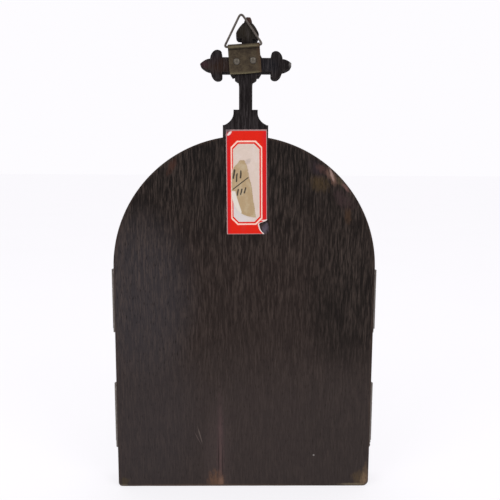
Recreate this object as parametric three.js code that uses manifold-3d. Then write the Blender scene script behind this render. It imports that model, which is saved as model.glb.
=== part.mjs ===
/**
 * A small house altar: an arched triptych of blackened oak, closed, with a wooden cross on its crown.
 *
 * Millimetres, +Z up. The two wings face -Y and the plain back faces +Y. The origin is the middle of
 * the closed piece's footprint, on the surface that it stands on. "Left" and "right" are those of
 * somebody who stands in front of the wings, so the right-hand side is +X.
 */
import * as THREE from 'three';
import { mergeVertices } from 'three/addons/utils/BufferGeometryUtils.js';
import Module from 'manifold-3d';

const wasm = await Module();
wasm.setup();

// The arched panel and its two wings.
const ARCH_RADIUS = 82.5; // half the width, and the radius of the round head
const SPRING_HEIGHT = 145.8; // from the table to the centre of the round head
const PANEL_THICKNESS = 12;
const WING_THICKNESS = 8;
const LEAF_GAP = 0.4; // between the panel and a closed wing
const WING_SEAM = 0.6; // between the two closed wings
const ARRIS = 0.8; // softened edges of the boards
const FOOT_CORNER = 2.5; // bottom corners, worn round
const ARCH_STEPS = 56;
const CORNER_STEPS = 4;

// The sunk fields: an arch in the panel, and a half arch in both faces of each wing.
const PANEL_BORDER = 11;
const PANEL_RAIL = 16;
const PANEL_FIELD_DEPTH = 2.6;
const WING_BORDER = 9;
const WING_RAIL = 14;
const WING_FIELD_DEPTH = 1.6;
const MOULDING_WIDTH = 3;
const MOULDING_STEPS = 3;

// The cross with its foot block, cut from one board.
const CROSS_THICKNESS = 12;
const CROSS_ARRIS = 0.35;
const CROSS_HEIGHT = 270.4; // of the crossing, from the table
const DISC_RADIUS = 10.5;
const DISC_STEPS = 6;
const NICK_ANGLE = 0.09; // half the opening of a nick in the disc's rim
const NICK_DEPTH = 1.1;
const CHIPPED_NICK_DEPTH = 2;
const SHAFT_HALF = 4.05;
const BLOCK_HALF = 13.9;
const BLOCK_SHOULDER_HEIGHT = 234.6;
const SHOULDER_WIDTH = 0.8;
const COVE_RISE = 2.2; // how far above the shoulder the hollow's slope aims
const STEP_HALF = 7.4;
const STEP_HEIGHT = 243.8;
const STEP_LIP = 1.8;
const CROSS_OFFSET = -0.25; // the whole cross stands a little to the left of the arch's middle
const CURVE_STEPS = 5;
const ROUNDNESS = 0.6; // share of the way to its corner at which a bend's handle lies

// One arm of the cross: its angle round the crossing, then half widths, and distances out.
const SHAFT = { angle: -Math.PI / 2, half: SHAFT_HALF };
const SIDE_ARM = {
  angle: 0,
  half: 4.3,
  lobeStart: 14.4,
  lobeEnd: 21.5,
  lobeHalf: 8.6,
  lobeRoundness: 0.5,
  petalHalf: 3.4,
  reach: 27.5,
  blunt: 0.35,
};
const CHIPPED_ARM = {
  ...SIDE_ARM,
  angle: Math.PI,
  half: SHAFT_HALF,
  lobeStart: 15.4,
  lobeEnd: 22.2,
  lobeHalf: 8.1,
  blunt: 1.1,
};
const TOP_ARM = {
  angle: THREE.MathUtils.degToRad(93), // it leans a little
  half: 3.2,
  lobeStart: 15,
  lobeEnd: 24.2,
  lobeHalf: 6.9,
  lobeRoundness: 0.2,
  petalHalf: 2.4,
  reach: 27.5,
  blunt: 1.1,
};
const LOBE_CURL = 2.2; // how far in from a lobe's edge its inner corner starts to turn
const LOBE_SHOULDER = 2.9; // how far out along the arm that turn ends

// The hanger: a brass strap folded over the base wire of a three-cornered ring, and nailed to the cross.
const HANGER_AXIS_HEIGHT = 281;
const HANGER_OFFSET = -1.05; // sideways, to the right as seen from behind
const HANGER_TILT = THREE.MathUtils.degToRad(4.5);
const FOLD_RADIUS = 1.35;
const FOLD_BORE = 0.8;
const FOLD_TURN = THREE.MathUtils.degToRad(325); // how far the fold is round, from its side on the wood
const FOLD_CREASE = 1.6; // from the wire down to where the two layers meet
const FOLD_STEPS = 14;
const STRAP_WIDTH = 19.2;
const STRAP_LENGTH = 15.9;
const STRAP_THICKNESS = 1.1; // two layers
const RING_BASE = 22.8;
const RING_RISE = 19.5;
const RING_CORNER = 2.1; // length of each side that the bend at a base corner takes up
const RING_APEX_CORNER = 3.1;
const RING_SHIFT = -0.2;
const RING_LEAN = THREE.MathUtils.degToRad(2);
const RING_SPLIT = 0.4; // the wire's two ends meet inside the fold
const WIRE_RADIUS = 0.6;
const WIRE_SIDES = 8;
const WIRE_STEPS = 80;
const NAIL_RADIUS = 2.1;
const NAIL_HEIGHT = 1.2;
const NAIL_SPREAD = 4.95;
const NAIL_DROP = 8.7;
const NAIL_SIDES = 14;
const DOME_STEPS = 3;

// The paper label on the back, with its torn corner, and the torn sticker on it.
const LABEL_WIDTH = 25.1;
const LABEL_HEIGHT = 64.3;
const LABEL_OFFSET = 1.1;
const LABEL_CENTRE_HEIGHT = 199.8;
const LABEL_TILT = THREE.MathUtils.degToRad(0.6); // its top leans to the left as seen from behind
const LABEL_THICKNESS = 0.25;
const TEAR_FOOT = 1.7; // from the label's right edge to the tear, along its foot
const TEAR_WIDTH = 4.6;
const TEAR_NOTCH_HEIGHT = 7;
const TEAR_HEIGHT = 8.8;
const TEAR_BOW = -1.1;
const TEAR_STEPS = 4;

// The torn sticker's corners about the label's centre, and how far the edge after each one bows out.
const STICKER_THICKNESS = 0.2;
const STICKER = {
  top: { x: -2.8, z: 14, bow: 1.1 },
  shoulder: { x: -9.3, z: 6.9, bow: 0.1 },
  waist: { x: -9.2, z: -5.8, bow: 1.3 },
  heel: { x: -3.7, z: -19.2, bow: 0.3 },
  toe: { x: 5.8, z: -21.9, bow: -0.8 },
  hip: { x: 3.6, z: -1, bow: 0.8 },
};

// The four hinges. A leaf is a plate on the side of its board, with its share of the knuckles.
const PIN_OFFSET = 1.9; // from the boards' sides out to the pin's centre
const KNUCKLE_RADIUS = 1.8;
const KNUCKLE_SIDES = 14;
const KNUCKLE_GAP = 0.25;
const KNUCKLE_CLEARANCE = 2.05; // from the pin's centre to the near edge of a plate
const BORE_RADIUS = 0.95;
const PIN_RADIUS = 0.8;
const PIN_END = 0.7; // length of the pin's round end beyond the knuckles
const PIN_SIDES = 10;
const COLLAR_RADIUS = 1.5; // the turned drop under a lower hinge, from the knuckles down
const COLLAR_TOP = -0.3;
const COLLAR_FOOT = -1.3;
const NECK_RADIUS = 1.1;
const NECK_HEIGHT = -2.6;
const DROP_RADIUS = 1.4;
const DROP_HEIGHT = -3.6;
const LEAF_THICKNESS = 1;
const LEAF_MARGIN = 0.6; // from a leaf's far edge to the face of its board
const BRAD_RADIUS = 1.3;
const BRAD_HEIGHT = 0.45;
const BRAD_SIDES = 8;
const BRAD_INSET = 0.16; // of the leaf's length, from each end
const HINGES = [
  { level: 'upper', bottom: 104, top: 143.4, finial: false },
  { level: 'lower', bottom: 26.7, top: 66.9, finial: true },
];

// Depths, so that the whole closed piece is centred on Y 0.
const CLOSED_DEPTH = PANEL_THICKNESS + LEAF_GAP + WING_THICKNESS;
const BACK_Y = (CLOSED_DEPTH - 2 * FOLD_RADIUS) / 2;
const PANEL_FRONT_Y = BACK_Y - PANEL_THICKNESS;
const HINGE_Y = PANEL_FRONT_Y - LEAF_GAP / 2;
const WING_BACK_Y = PANEL_FRONT_Y - LEAF_GAP;
const SEAT_HEIGHT = SPRING_HEIGHT + Math.sqrt(ARCH_RADIUS ** 2 - BLOCK_HALF ** 2);

const oak = new THREE.MeshStandardMaterial({ color: 0x2e2723, roughness: 0.55 });
const brass = new THREE.MeshStandardMaterial({ color: 0x6a5a3a, roughness: 0.4, metalness: 0.9 });
const steel = new THREE.MeshStandardMaterial({ color: 0x77736c, roughness: 0.3, metalness: 1 });
const nickel = new THREE.MeshStandardMaterial({ color: 0x8a8686, roughness: 0.35, metalness: 1 });
const redPaper = new THREE.MeshStandardMaterial({ color: 0xc8201a, roughness: 0.6 });
const buffPaper = new THREE.MeshStandardMaterial({ color: 0xb49c78, roughness: 0.8 });

// ---- Points and outlines ----

const point = (x, y) => new THREE.Vector2(x, y);

/** Points on an arc, its two ends included. */
function arc(x, y, radius, from, to, steps) {
  return Array.from({ length: steps + 1 }, (_, i) => {
    const angle = from + ((to - from) * i) / steps;
    return point(x + radius * Math.cos(angle), y + radius * Math.sin(angle));
  });
}

/** Points along a bend between two ends, drawn towards a corner and rounded off before it. */
function bend(start, corner, end, roundness = ROUNDNESS) {
  const startHandle = start.clone().lerp(corner, roundness);
  const endHandle = end.clone().lerp(corner, roundness);
  return new THREE.CubicBezierCurve(start, startHandle, endHandle, end).getPoints(CURVE_STEPS);
}

/** Points along an edge that bows out to its right by the given height in its middle. */
function bowedEdge(start, end, bow) {
  const along = end.clone().sub(start).normalize();
  const outward = point(along.y, -along.x);
  const middle = start.clone().lerp(end, 0.5).addScaledVector(outward, 2 * bow);
  return new THREE.QuadraticBezierCurve(start, middle, end).getPoints(TEAR_STEPS);
}

/** A closed ring of points, for round outlines. */
function circle(radius, sides) {
  return arc(0, 0, radius, 0, 2 * Math.PI, sides).slice(0, -1);
}

/** A bottom corner, rounded about its own centre, or square if the radius is 0. */
function footCorner(side, x, foot, radius) {
  if (radius === 0) {
    return [point(side * x, foot)];
  }
  const turn = arc(x - radius, foot + radius, radius, -Math.PI / 2, 0, CORNER_STEPS);
  return side > 0 ? turn : turn.map((p) => point(-p.x, p.y)).reverse();
}

/** The round-headed outline of a board, whose crown is cut off flat over the given half width. */
function archOutline(radius, foot, corner, crownHalf) {
  const cut = Math.asin(crownHalf / radius);
  const right = arc(0, SPRING_HEIGHT, radius, 0, Math.PI / 2 - cut, ARCH_STEPS / 2);
  const left = right.map((p) => point(-p.x, p.y)).reverse();
  return [
    ...footCorner(1, radius, foot, corner),
    ...right,
    ...(crownHalf > 0 ? left : left.slice(1)),
    ...footCorner(-1, radius, foot, corner),
  ];
}

/** Half of a round-headed outline, from a straight inner side at x = inner out to the arch. */
function halfArchOutline(side, inner, radius, foot, corner) {
  const outline = [
    point(inner, foot),
    ...footCorner(1, radius, foot, corner),
    ...arc(0, SPRING_HEIGHT, radius, 0, Math.acos(inner / radius), ARCH_STEPS / 2),
  ];
  return outline.map((p) => point(side * p.x, p.y));
}

/** Places points given along and across an arm of the cross, which leaves the crossing at an angle. */
function onArm(angle, points) {
  const turned = points.map((p) => p.clone().rotateAround(point(0, 0), angle));
  return turned.map((p) => p.add(point(0, CROSS_HEIGHT)));
}

/** An arm with a lily end: two curled lobes and a pointed petal, from the disc's rim out and back. */
function armOutline(arm) {
  const rim = Math.sqrt(DISC_RADIUS ** 2 - arm.half ** 2);
  const lobeRoot = point(arm.lobeStart, arm.lobeHalf - LOBE_CURL);
  const lobeTop = point(arm.lobeStart + LOBE_SHOULDER, arm.lobeHalf);
  const petalRoot = point(arm.lobeEnd, arm.petalHalf);
  const petalCorner = point((arm.lobeEnd + arm.reach) / 2, arm.petalHalf);
  const lobeCorner = point(arm.lobeEnd, arm.lobeHalf);
  const flank = [
    point(rim, arm.half),
    point(arm.lobeStart, arm.half),
    ...bend(lobeRoot, point(arm.lobeStart, arm.lobeHalf), lobeTop),
    ...bend(lobeTop, lobeCorner, petalRoot, arm.lobeRoundness).slice(1),
    ...bend(petalRoot, petalCorner, point(arm.reach, arm.blunt)).slice(1),
  ];
  const outward = flank.map((p) => point(p.x, -p.y));
  return onArm(arm.angle, [...outward, ...flank.reverse()]);
}

/** The disc's rim from one arm round to the next, with a nick in its middle. */
function rimOutline(before, after, nickDepth) {
  const start = Math.asin(before.half / DISC_RADIUS);
  const end = after.angle - before.angle - Math.asin(after.half / DISC_RADIUS);
  const middle = (start + end) / 2;
  const bottom = point(DISC_RADIUS - nickDepth, 0).rotateAround(point(0, 0), middle);
  const rim = [
    ...arc(0, 0, DISC_RADIUS, start, middle - NICK_ANGLE, DISC_STEPS).slice(1),
    bottom,
    ...arc(0, 0, DISC_RADIUS, middle + NICK_ANGLE, end, DISC_STEPS).slice(0, -1),
  ];
  return onArm(before.angle, rim);
}

/** One flank of the foot block, from its seat on the arch up to where the shaft meets the disc. */
function footFlank() {
  const shoulder = BLOCK_HALF - SHOULDER_WIDTH;
  const lip = STEP_HEIGHT - STEP_LIP;
  return [
    point(BLOCK_HALF, SEAT_HEIGHT),
    point(BLOCK_HALF, BLOCK_SHOULDER_HEIGHT),
    ...bend(
      point(shoulder, BLOCK_SHOULDER_HEIGHT),
      point(STEP_HALF, BLOCK_SHOULDER_HEIGHT + COVE_RISE),
      point(STEP_HALF, lip),
    ),
    point(STEP_HALF, STEP_HEIGHT),
    point(SHAFT_HALF, STEP_HEIGHT),
    point(SHAFT_HALF, CROSS_HEIGHT - Math.sqrt(DISC_RADIUS ** 2 - SHAFT_HALF ** 2)),
  ];
}

/** The whole outline of the cross and its foot block, anticlockwise from the block's right foot. */
function crossOutline() {
  const flank = footFlank();
  const shaftAgain = { ...SHAFT, angle: SHAFT.angle + 2 * Math.PI };
  return [
    ...flank,
    ...rimOutline(SHAFT, SIDE_ARM, CHIPPED_NICK_DEPTH),
    ...armOutline(SIDE_ARM),
    ...rimOutline(SIDE_ARM, TOP_ARM, NICK_DEPTH),
    ...armOutline(TOP_ARM),
    ...rimOutline(TOP_ARM, CHIPPED_ARM, NICK_DEPTH),
    ...armOutline(CHIPPED_ARM),
    ...rimOutline(CHIPPED_ARM, shaftAgain, NICK_DEPTH),
    ...flank.map((p) => point(-p.x, p.y)).reverse(),
  ];
}

// ---- Solids ----

/** An upright board with this outline, from y = 0 forward to y = -thickness, its arrises eased. */
function board(outline, thickness, ease, easeDepth = ease, steps = 1) {
  const geometry = new THREE.ExtrudeGeometry(new THREE.Shape(outline), {
    depth: thickness - 2 * easeDepth,
    bevelEnabled: ease > 0,
    bevelThickness: easeDepth,
    bevelSize: ease,
    bevelOffset: -ease,
    bevelSegments: steps,
  });
  geometry.translate(0, 0, ease > 0 ? easeDepth : 0);
  return geometry.rotateX(Math.PI / 2);
}

/** A thin upright sheet with square edges, from y = 0 forward. */
function sheet(outline, thickness) {
  const shape = new THREE.Shape(outline);
  const geometry = new THREE.ExtrudeGeometry(shape, { depth: thickness, bevelEnabled: false });
  return geometry.rotateX(Math.PI / 2);
}

/** A closed geometry as a solid that can be joined to others and cut. */
function solidOf(geometry) {
  const bare = geometry.clone();
  bare.deleteAttribute('normal');
  bare.deleteAttribute('uv');
  const merged = mergeVertices(bare, 1e-4);
  const vertProperties = new Float32Array(merged.getAttribute('position').array);
  const triVerts = new Uint32Array(merged.getIndex().array);
  return new wasm.Manifold(new wasm.Mesh({ numProp: 3, vertProperties, triVerts }));
}

/** A solid as a geometry with a normal for each face. */
function geometryOf(solid) {
  const mesh = solid.getMesh();
  const geometry = new THREE.BufferGeometry();
  geometry.setAttribute('position', new THREE.BufferAttribute(mesh.vertProperties, 3));
  geometry.setIndex(new THREE.BufferAttribute(mesh.triVerts, 1));
  const faceted = geometry.toNonIndexed();
  faceted.computeVertexNormals();
  return faceted;
}

/** The space of a sunk field with a hollow moulding round it, centred on the face at the given y. */
function fieldSpace(outline, depth, faceY) {
  const span = 2 * depth + 0.02;
  const space = board(outline, span, MOULDING_WIDTH, depth, MOULDING_STEPS);
  return space.translate(0, faceY + span / 2, 0);
}

/** A named mesh. */
function piece(name, geometry, material) {
  const mesh = new THREE.Mesh(geometry, material);
  mesh.name = name;
  return mesh;
}

/** The arched centre panel, with its crown cut flat as a seat for the cross. */
function backPanel() {
  const outline = archOutline(ARCH_RADIUS, 0, FOOT_CORNER, BLOCK_HALF);
  const field = archOutline(ARCH_RADIUS - PANEL_BORDER, PANEL_RAIL, 0, 0);
  const panel = solidOf(board(outline, PANEL_THICKNESS, ARRIS));
  const space = solidOf(fieldSpace(field, PANEL_FIELD_DEPTH, -PANEL_THICKNESS));
  const mesh = piece('back_panel', geometryOf(panel.subtract(space)), oak);
  mesh.position.y = BACK_Y;
  return mesh;
}

/** One wing: half an arch, with a sunk field in its outer face and another in its inner face. */
function wing(name, side) {
  const inner = WING_SEAM / 2;
  const outline = halfArchOutline(side, inner, ARCH_RADIUS, 0, FOOT_CORNER);
  const field = halfArchOutline(side, inner + WING_BORDER, ARCH_RADIUS - WING_BORDER, WING_RAIL, 0);
  const leaf = solidOf(board(outline, WING_THICKNESS, ARRIS));
  const innerSpace = solidOf(fieldSpace(field, WING_FIELD_DEPTH, 0));
  const outerSpace = solidOf(fieldSpace(field, WING_FIELD_DEPTH, -WING_THICKNESS));
  const mesh = piece(name, geometryOf(leaf.subtract(innerSpace).subtract(outerSpace)), oak);
  mesh.position.y = WING_BACK_Y;
  return mesh;
}

/** The cross and its foot block. */
function crossFinial() {
  const mesh = piece('cross_finial', board(crossOutline(), CROSS_THICKNESS, CROSS_ARRIS), oak);
  mesh.position.set(CROSS_OFFSET, BACK_Y, 0);
  return mesh;
}

/** The strap's end view: two layers lying on the cross, and the fold that the wire turns in. */
function strapProfile() {
  const layerY = FOLD_RADIUS - STRAP_THICKNESS;
  const profile = new THREE.Shape([
    point(FOLD_RADIUS, -STRAP_LENGTH),
    ...arc(0, 0, FOLD_RADIUS, 0, FOLD_TURN - Math.PI / 2, FOLD_STEPS),
    point(layerY, -FOLD_CREASE),
    point(layerY, -STRAP_LENGTH),
  ]);
  profile.holes.push(new THREE.Path(circle(FOLD_BORE, FOLD_STEPS)));
  return profile;
}

/** The folded strap, its width along X. */
function hangerPlate() {
  const options = { depth: STRAP_WIDTH, bevelEnabled: false };
  const geometry = new THREE.ExtrudeGeometry(strapProfile(), options);
  geometry.translate(0, 0, -STRAP_WIDTH / 2);
  return piece('hanger_plate', geometry.rotateX(Math.PI / 2).rotateZ(Math.PI / 2), brass);
}

/** The ring's centre line: three straight sides and three bends, split in the middle of its base. */
function ringPath() {
  const corners = [
    new THREE.Vector3(-RING_BASE / 2, 0, 0),
    new THREE.Vector3(0, 0, RING_RISE),
    new THREE.Vector3(RING_BASE / 2, 0, 0),
  ];
  const path = new THREE.CurvePath();
  const end = new THREE.Vector3(RING_SPLIT / 2, 0, 0);
  let from = new THREE.Vector3(-RING_SPLIT / 2, 0, 0);
  corners.forEach((corner, i) => {
    const next = corners[i + 1] ?? end;
    const reach = corner.z > 0 ? RING_APEX_CORNER : RING_CORNER;
    const before = corner.clone().add(from.clone().sub(corner).setLength(reach));
    const after = corner.clone().add(next.clone().sub(corner).setLength(reach));
    path.add(new THREE.LineCurve3(from, before));
    path.add(new THREE.QuadraticBezierCurve3(before, corner, after));
    from = after;
  });
  path.add(new THREE.LineCurve3(from, end));
  return path;
}

/** The wire ring, standing in the strap's fold and leaning on the cross. */
function hangerRing() {
  const section = new THREE.Shape(circle(WIRE_RADIUS, WIRE_SIDES));
  const geometry = new THREE.ExtrudeGeometry(section, { steps: WIRE_STEPS, extrudePath: ringPath() });
  const mesh = piece('hanger_ring', geometry, steel);
  mesh.position.x = RING_SHIFT;
  mesh.rotation.x = -RING_LEAN;
  return mesh;
}

/** A round head that stands off a surface along +Y, for nails and brads. */
function domedHead(radius, height, sides) {
  const dome = arc(0, 0, 1, 0, Math.PI / 2, DOME_STEPS).slice(0, -1);
  const shell = dome.map((p) => point(radius * p.x, height * p.y));
  return new THREE.LatheGeometry([point(0, 0), ...shell, point(0, height)], sides);
}

/** One of the two nails through the strap. */
function hangerNail(name, side) {
  const geometry = domedHead(NAIL_RADIUS, NAIL_HEIGHT, NAIL_SIDES).rotateX(Math.PI);
  const mesh = piece(name, geometry, nickel);
  mesh.position.set(side * NAIL_SPREAD, FOLD_RADIUS - STRAP_THICKNESS, -NAIL_DROP);
  return mesh;
}

/** The strap, ring and nails, about the base wire's centre line. */
function hanger() {
  const group = new THREE.Group();
  group.add(hangerPlate(), hangerRing());
  group.add(hangerNail('hanger_nail_left', 1), hangerNail('hanger_nail_right', -1));
  group.position.set(HANGER_OFFSET, -FOLD_RADIUS, HANGER_AXIS_HEIGHT);
  group.rotation.y = -HANGER_TILT;
  return group;
}

/** The label's outline: a tall rectangle whose lower right corner is torn away. */
function labelOutline() {
  const right = LABEL_WIDTH / 2;
  const foot = -LABEL_HEIGHT / 2;
  const notch = point(right - TEAR_WIDTH, foot + TEAR_NOTCH_HEIGHT);
  return [
    point(-right, foot),
    ...bowedEdge(point(right - TEAR_FOOT, foot), notch, TEAR_BOW),
    point(right, foot + TEAR_HEIGHT),
    point(right, -foot),
    point(-right, -foot),
  ];
}

/** The torn sticker's outline, about the label's centre: from corner to corner along bowed edges. */
function stickerOutline() {
  const corners = Object.values(STICKER);
  return corners.flatMap((corner, i) => {
    const next = corners[(i + 1) % corners.length];
    return bowedEdge(point(corner.x, corner.z), point(next.x, next.z), corner.bow).slice(1);
  });
}

/** The paper label and the sticker that is glued on it. */
function labels() {
  const group = new THREE.Group();
  const sticker = piece('torn_sticker', sheet(stickerOutline(), STICKER_THICKNESS), buffPaper);
  sticker.position.y = -LABEL_THICKNESS;
  group.add(piece('paper_label', sheet(labelOutline(), LABEL_THICKNESS), redPaper), sticker);
  group.position.set(LABEL_OFFSET, 0, LABEL_CENTRE_HEIGHT);
  group.rotation.y = -LABEL_TILT;
  return group;
}

/** What is fixed to the back, laid out as somebody behind the piece sees it: +X right, -Y nearer. */
function rearFittings() {
  const group = new THREE.Group();
  group.add(hanger(), labels());
  group.rotation.z = Math.PI;
  group.position.y = BACK_Y;
  return group;
}

/** An upright cylinder from one height to another on the pin's centre line. */
function upright(radius, from, to, sides) {
  const geometry = new THREE.CylinderGeometry(radius, radius, to - from, sides);
  return geometry.rotateX(Math.PI / 2).translate(0, 0, (from + to) / 2);
}

/** A box between two corners. */
function block(low, high) {
  const size = high.clone().sub(low);
  const centre = low.clone().add(high).multiplyScalar(0.5);
  return new THREE.BoxGeometry(size.x, size.y, size.z).translate(centre.x, centre.y, centre.z);
}

/** One leaf, about the pin's centre. Toward is +1 for the panel's leaf and -1 for the wing's. */
function hingeLeaf(side, toward, width, length, knuckles) {
  const slab = (nearY, farY, from, to) => {
    const xs = [side * -PIN_OFFSET, side * (LEAF_THICKNESS - PIN_OFFSET)];
    const ys = [toward * nearY, toward * farY];
    return solidOf(block(
      new THREE.Vector3(Math.min(...xs), Math.min(...ys), from),
      new THREE.Vector3(Math.max(...xs), Math.max(...ys), to),
    ));
  };
  let leaf = slab(KNUCKLE_CLEARANCE, width, 0, length);
  for (const [from, to] of knuckles) {
    leaf = leaf.add(slab(LEAF_GAP / 2, KNUCKLE_CLEARANCE + 0.1, from, to));
    leaf = leaf.add(solidOf(upright(KNUCKLE_RADIUS, from, to, KNUCKLE_SIDES)));
  }
  const bore = solidOf(upright(BORE_RADIUS, -1, length + 1, KNUCKLE_SIDES));
  return geometryOf(leaf.subtract(bore));
}

/** The turned drop at the foot of a lower hinge's pin: a round drop, a neck and a collar. */
function dropProfile() {
  const drop = arc(0, DROP_HEIGHT, DROP_RADIUS, -Math.PI / 2, 0, DOME_STEPS);
  return [
    point(0, DROP_HEIGHT - DROP_RADIUS),
    ...drop.slice(1),
    point(NECK_RADIUS, NECK_HEIGHT),
    point(COLLAR_RADIUS, COLLAR_FOOT),
    point(COLLAR_RADIUS, COLLAR_TOP),
    point(PIN_RADIUS, COLLAR_TOP),
  ];
}

/** The pin: plain and round-ended, or with a small turned drop at its foot. */
function hingePin(length, finial) {
  const dome = arc(0, 0, 1, 0, Math.PI / 2, DOME_STEPS).slice(0, -1);
  const end = dome.map((p) => point(PIN_RADIUS * p.x, PIN_END * p.y));
  const foot = [point(0, -PIN_END), ...end.map((p) => point(p.x, -p.y)).reverse()];
  const head = [...end.map((p) => point(p.x, length + p.y)), point(0, length + PIN_END)];
  const profile = [...(finial ? dropProfile() : foot), ...head];
  return new THREE.LatheGeometry(profile, PIN_SIDES).rotateX(Math.PI / 2);
}

/** The two brads of one leaf. */
function leafBrads(name, side, toward, width, length) {
  const group = new THREE.Group();
  const heights = [BRAD_INSET * length, (1 - BRAD_INSET) * length];
  heights.forEach((height, i) => {
    const geometry = domedHead(BRAD_RADIUS, BRAD_HEIGHT, BRAD_SIDES).rotateZ((-side * Math.PI) / 2);
    const brad = piece(`${name}_brad_${i + 1}`, geometry, nickel);
    const y = (toward * (KNUCKLE_CLEARANCE + width)) / 2;
    brad.position.set(side * (LEAF_THICKNESS - PIN_OFFSET), y, height);
    group.add(brad);
  });
  return group;
}

/** One hinge: the panel's leaf with the outer knuckles, the wing's with the middle one, and the pin. */
function hinge(sideName, side, { level, bottom, top, finial }) {
  const name = `${sideName}_${level}_hinge`;
  const length = top - bottom;
  const outer = length / 3;
  const panelWidth = LEAF_GAP / 2 + PANEL_THICKNESS - LEAF_MARGIN;
  const wingWidth = LEAF_GAP / 2 + WING_THICKNESS - LEAF_MARGIN;
  const outerKnuckles = [[0, outer - KNUCKLE_GAP], [length - outer + KNUCKLE_GAP, length]];
  const middleKnuckle = [[outer, length - outer]];
  const group = new THREE.Group();
  group.add(
    piece(`${name}_panel_leaf`, hingeLeaf(side, 1, panelWidth, length, outerKnuckles), steel),
    piece(`${name}_wing_leaf`, hingeLeaf(side, -1, wingWidth, length, middleKnuckle), steel),
    piece(`${name}_pin`, hingePin(length, finial), steel),
    leafBrads(`${name}_panel_leaf`, side, 1, panelWidth, length),
    leafBrads(`${name}_wing_leaf`, side, -1, wingWidth, length),
  );
  group.position.set(side * (ARCH_RADIUS + PIN_OFFSET), HINGE_Y, bottom);
  return group;
}

const triptych = new THREE.Group();
triptych.add(backPanel(), crossFinial(), rearFittings());
for (const [sideName, side] of [['left', -1], ['right', 1]]) {
  triptych.add(wing(`${sideName}_wing`, side));
  for (const place of HINGES) {
    triptych.add(hinge(sideName, side, place));
  }
}

export default triptych;
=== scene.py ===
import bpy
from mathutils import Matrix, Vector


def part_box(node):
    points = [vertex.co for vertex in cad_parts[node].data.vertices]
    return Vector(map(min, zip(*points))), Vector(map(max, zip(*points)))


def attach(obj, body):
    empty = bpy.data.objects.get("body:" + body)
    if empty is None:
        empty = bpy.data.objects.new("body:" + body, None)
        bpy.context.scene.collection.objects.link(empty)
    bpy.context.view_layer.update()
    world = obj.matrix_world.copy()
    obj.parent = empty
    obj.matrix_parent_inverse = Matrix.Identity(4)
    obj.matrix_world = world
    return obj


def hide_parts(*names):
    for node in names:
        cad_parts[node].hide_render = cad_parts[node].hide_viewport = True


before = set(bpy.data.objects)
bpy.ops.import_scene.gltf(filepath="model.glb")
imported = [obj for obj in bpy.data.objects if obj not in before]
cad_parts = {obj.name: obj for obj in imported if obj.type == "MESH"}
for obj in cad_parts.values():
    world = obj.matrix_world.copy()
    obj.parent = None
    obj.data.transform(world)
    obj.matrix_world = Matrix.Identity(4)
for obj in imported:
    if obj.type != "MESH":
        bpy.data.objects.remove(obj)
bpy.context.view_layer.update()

"""The finished look of a small house altar: an arched triptych of blackened oak, closed.

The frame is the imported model's: metres, +Z up, the two wings face -Y and the plain back with its label
and hanger faces +Y. Sizes inside the classes are millimetres, and build() turns them into metres.
"Across" runs to the right for somebody who stands behind the piece, which is towards -X.
"""
import logging
from collections.abc import Callable
from dataclasses import dataclass, field
from enum import Enum

import bpy
import numpy as np
from mathutils import Quaternion, Vector

LOG = logging.getLogger("triptych")
MM = 0.001
SHARP_ANGLE = np.radians(35)
LEAST_CORNER_COSINE = 0.6
LEAST_CORNER = 0.25
HALF_ROOT = 0.7071
Colour = tuple[float, float, float]
Spot = tuple[float, float, float]
Place = tuple[float, float]
ClippedBox = tuple[Place, Place, float]
Stop = tuple[float, Colour]
Carry = Callable[[np.ndarray], np.ndarray]
Masks = dict[str, np.ndarray]
Marks = Callable[[np.ndarray, np.ndarray, np.ndarray, np.ndarray], Masks]


# ---- Outlines and shells ----


class Ends(Enum):
    """How the first and the last ring of a shell are closed."""

    FLAT = "one many-sided face"
    POLE = "a fan to the ring's middle"
    LOOP = "joined to each other"


class Side(Enum):
    """The two sides, for somebody who stands in front of the wings; the value is the sign of X."""

    LEFT = -1
    RIGHT = 1


class Level(Enum):
    """The two hinges of each side."""

    UPPER = "upper"
    LOWER = "lower"


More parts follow.
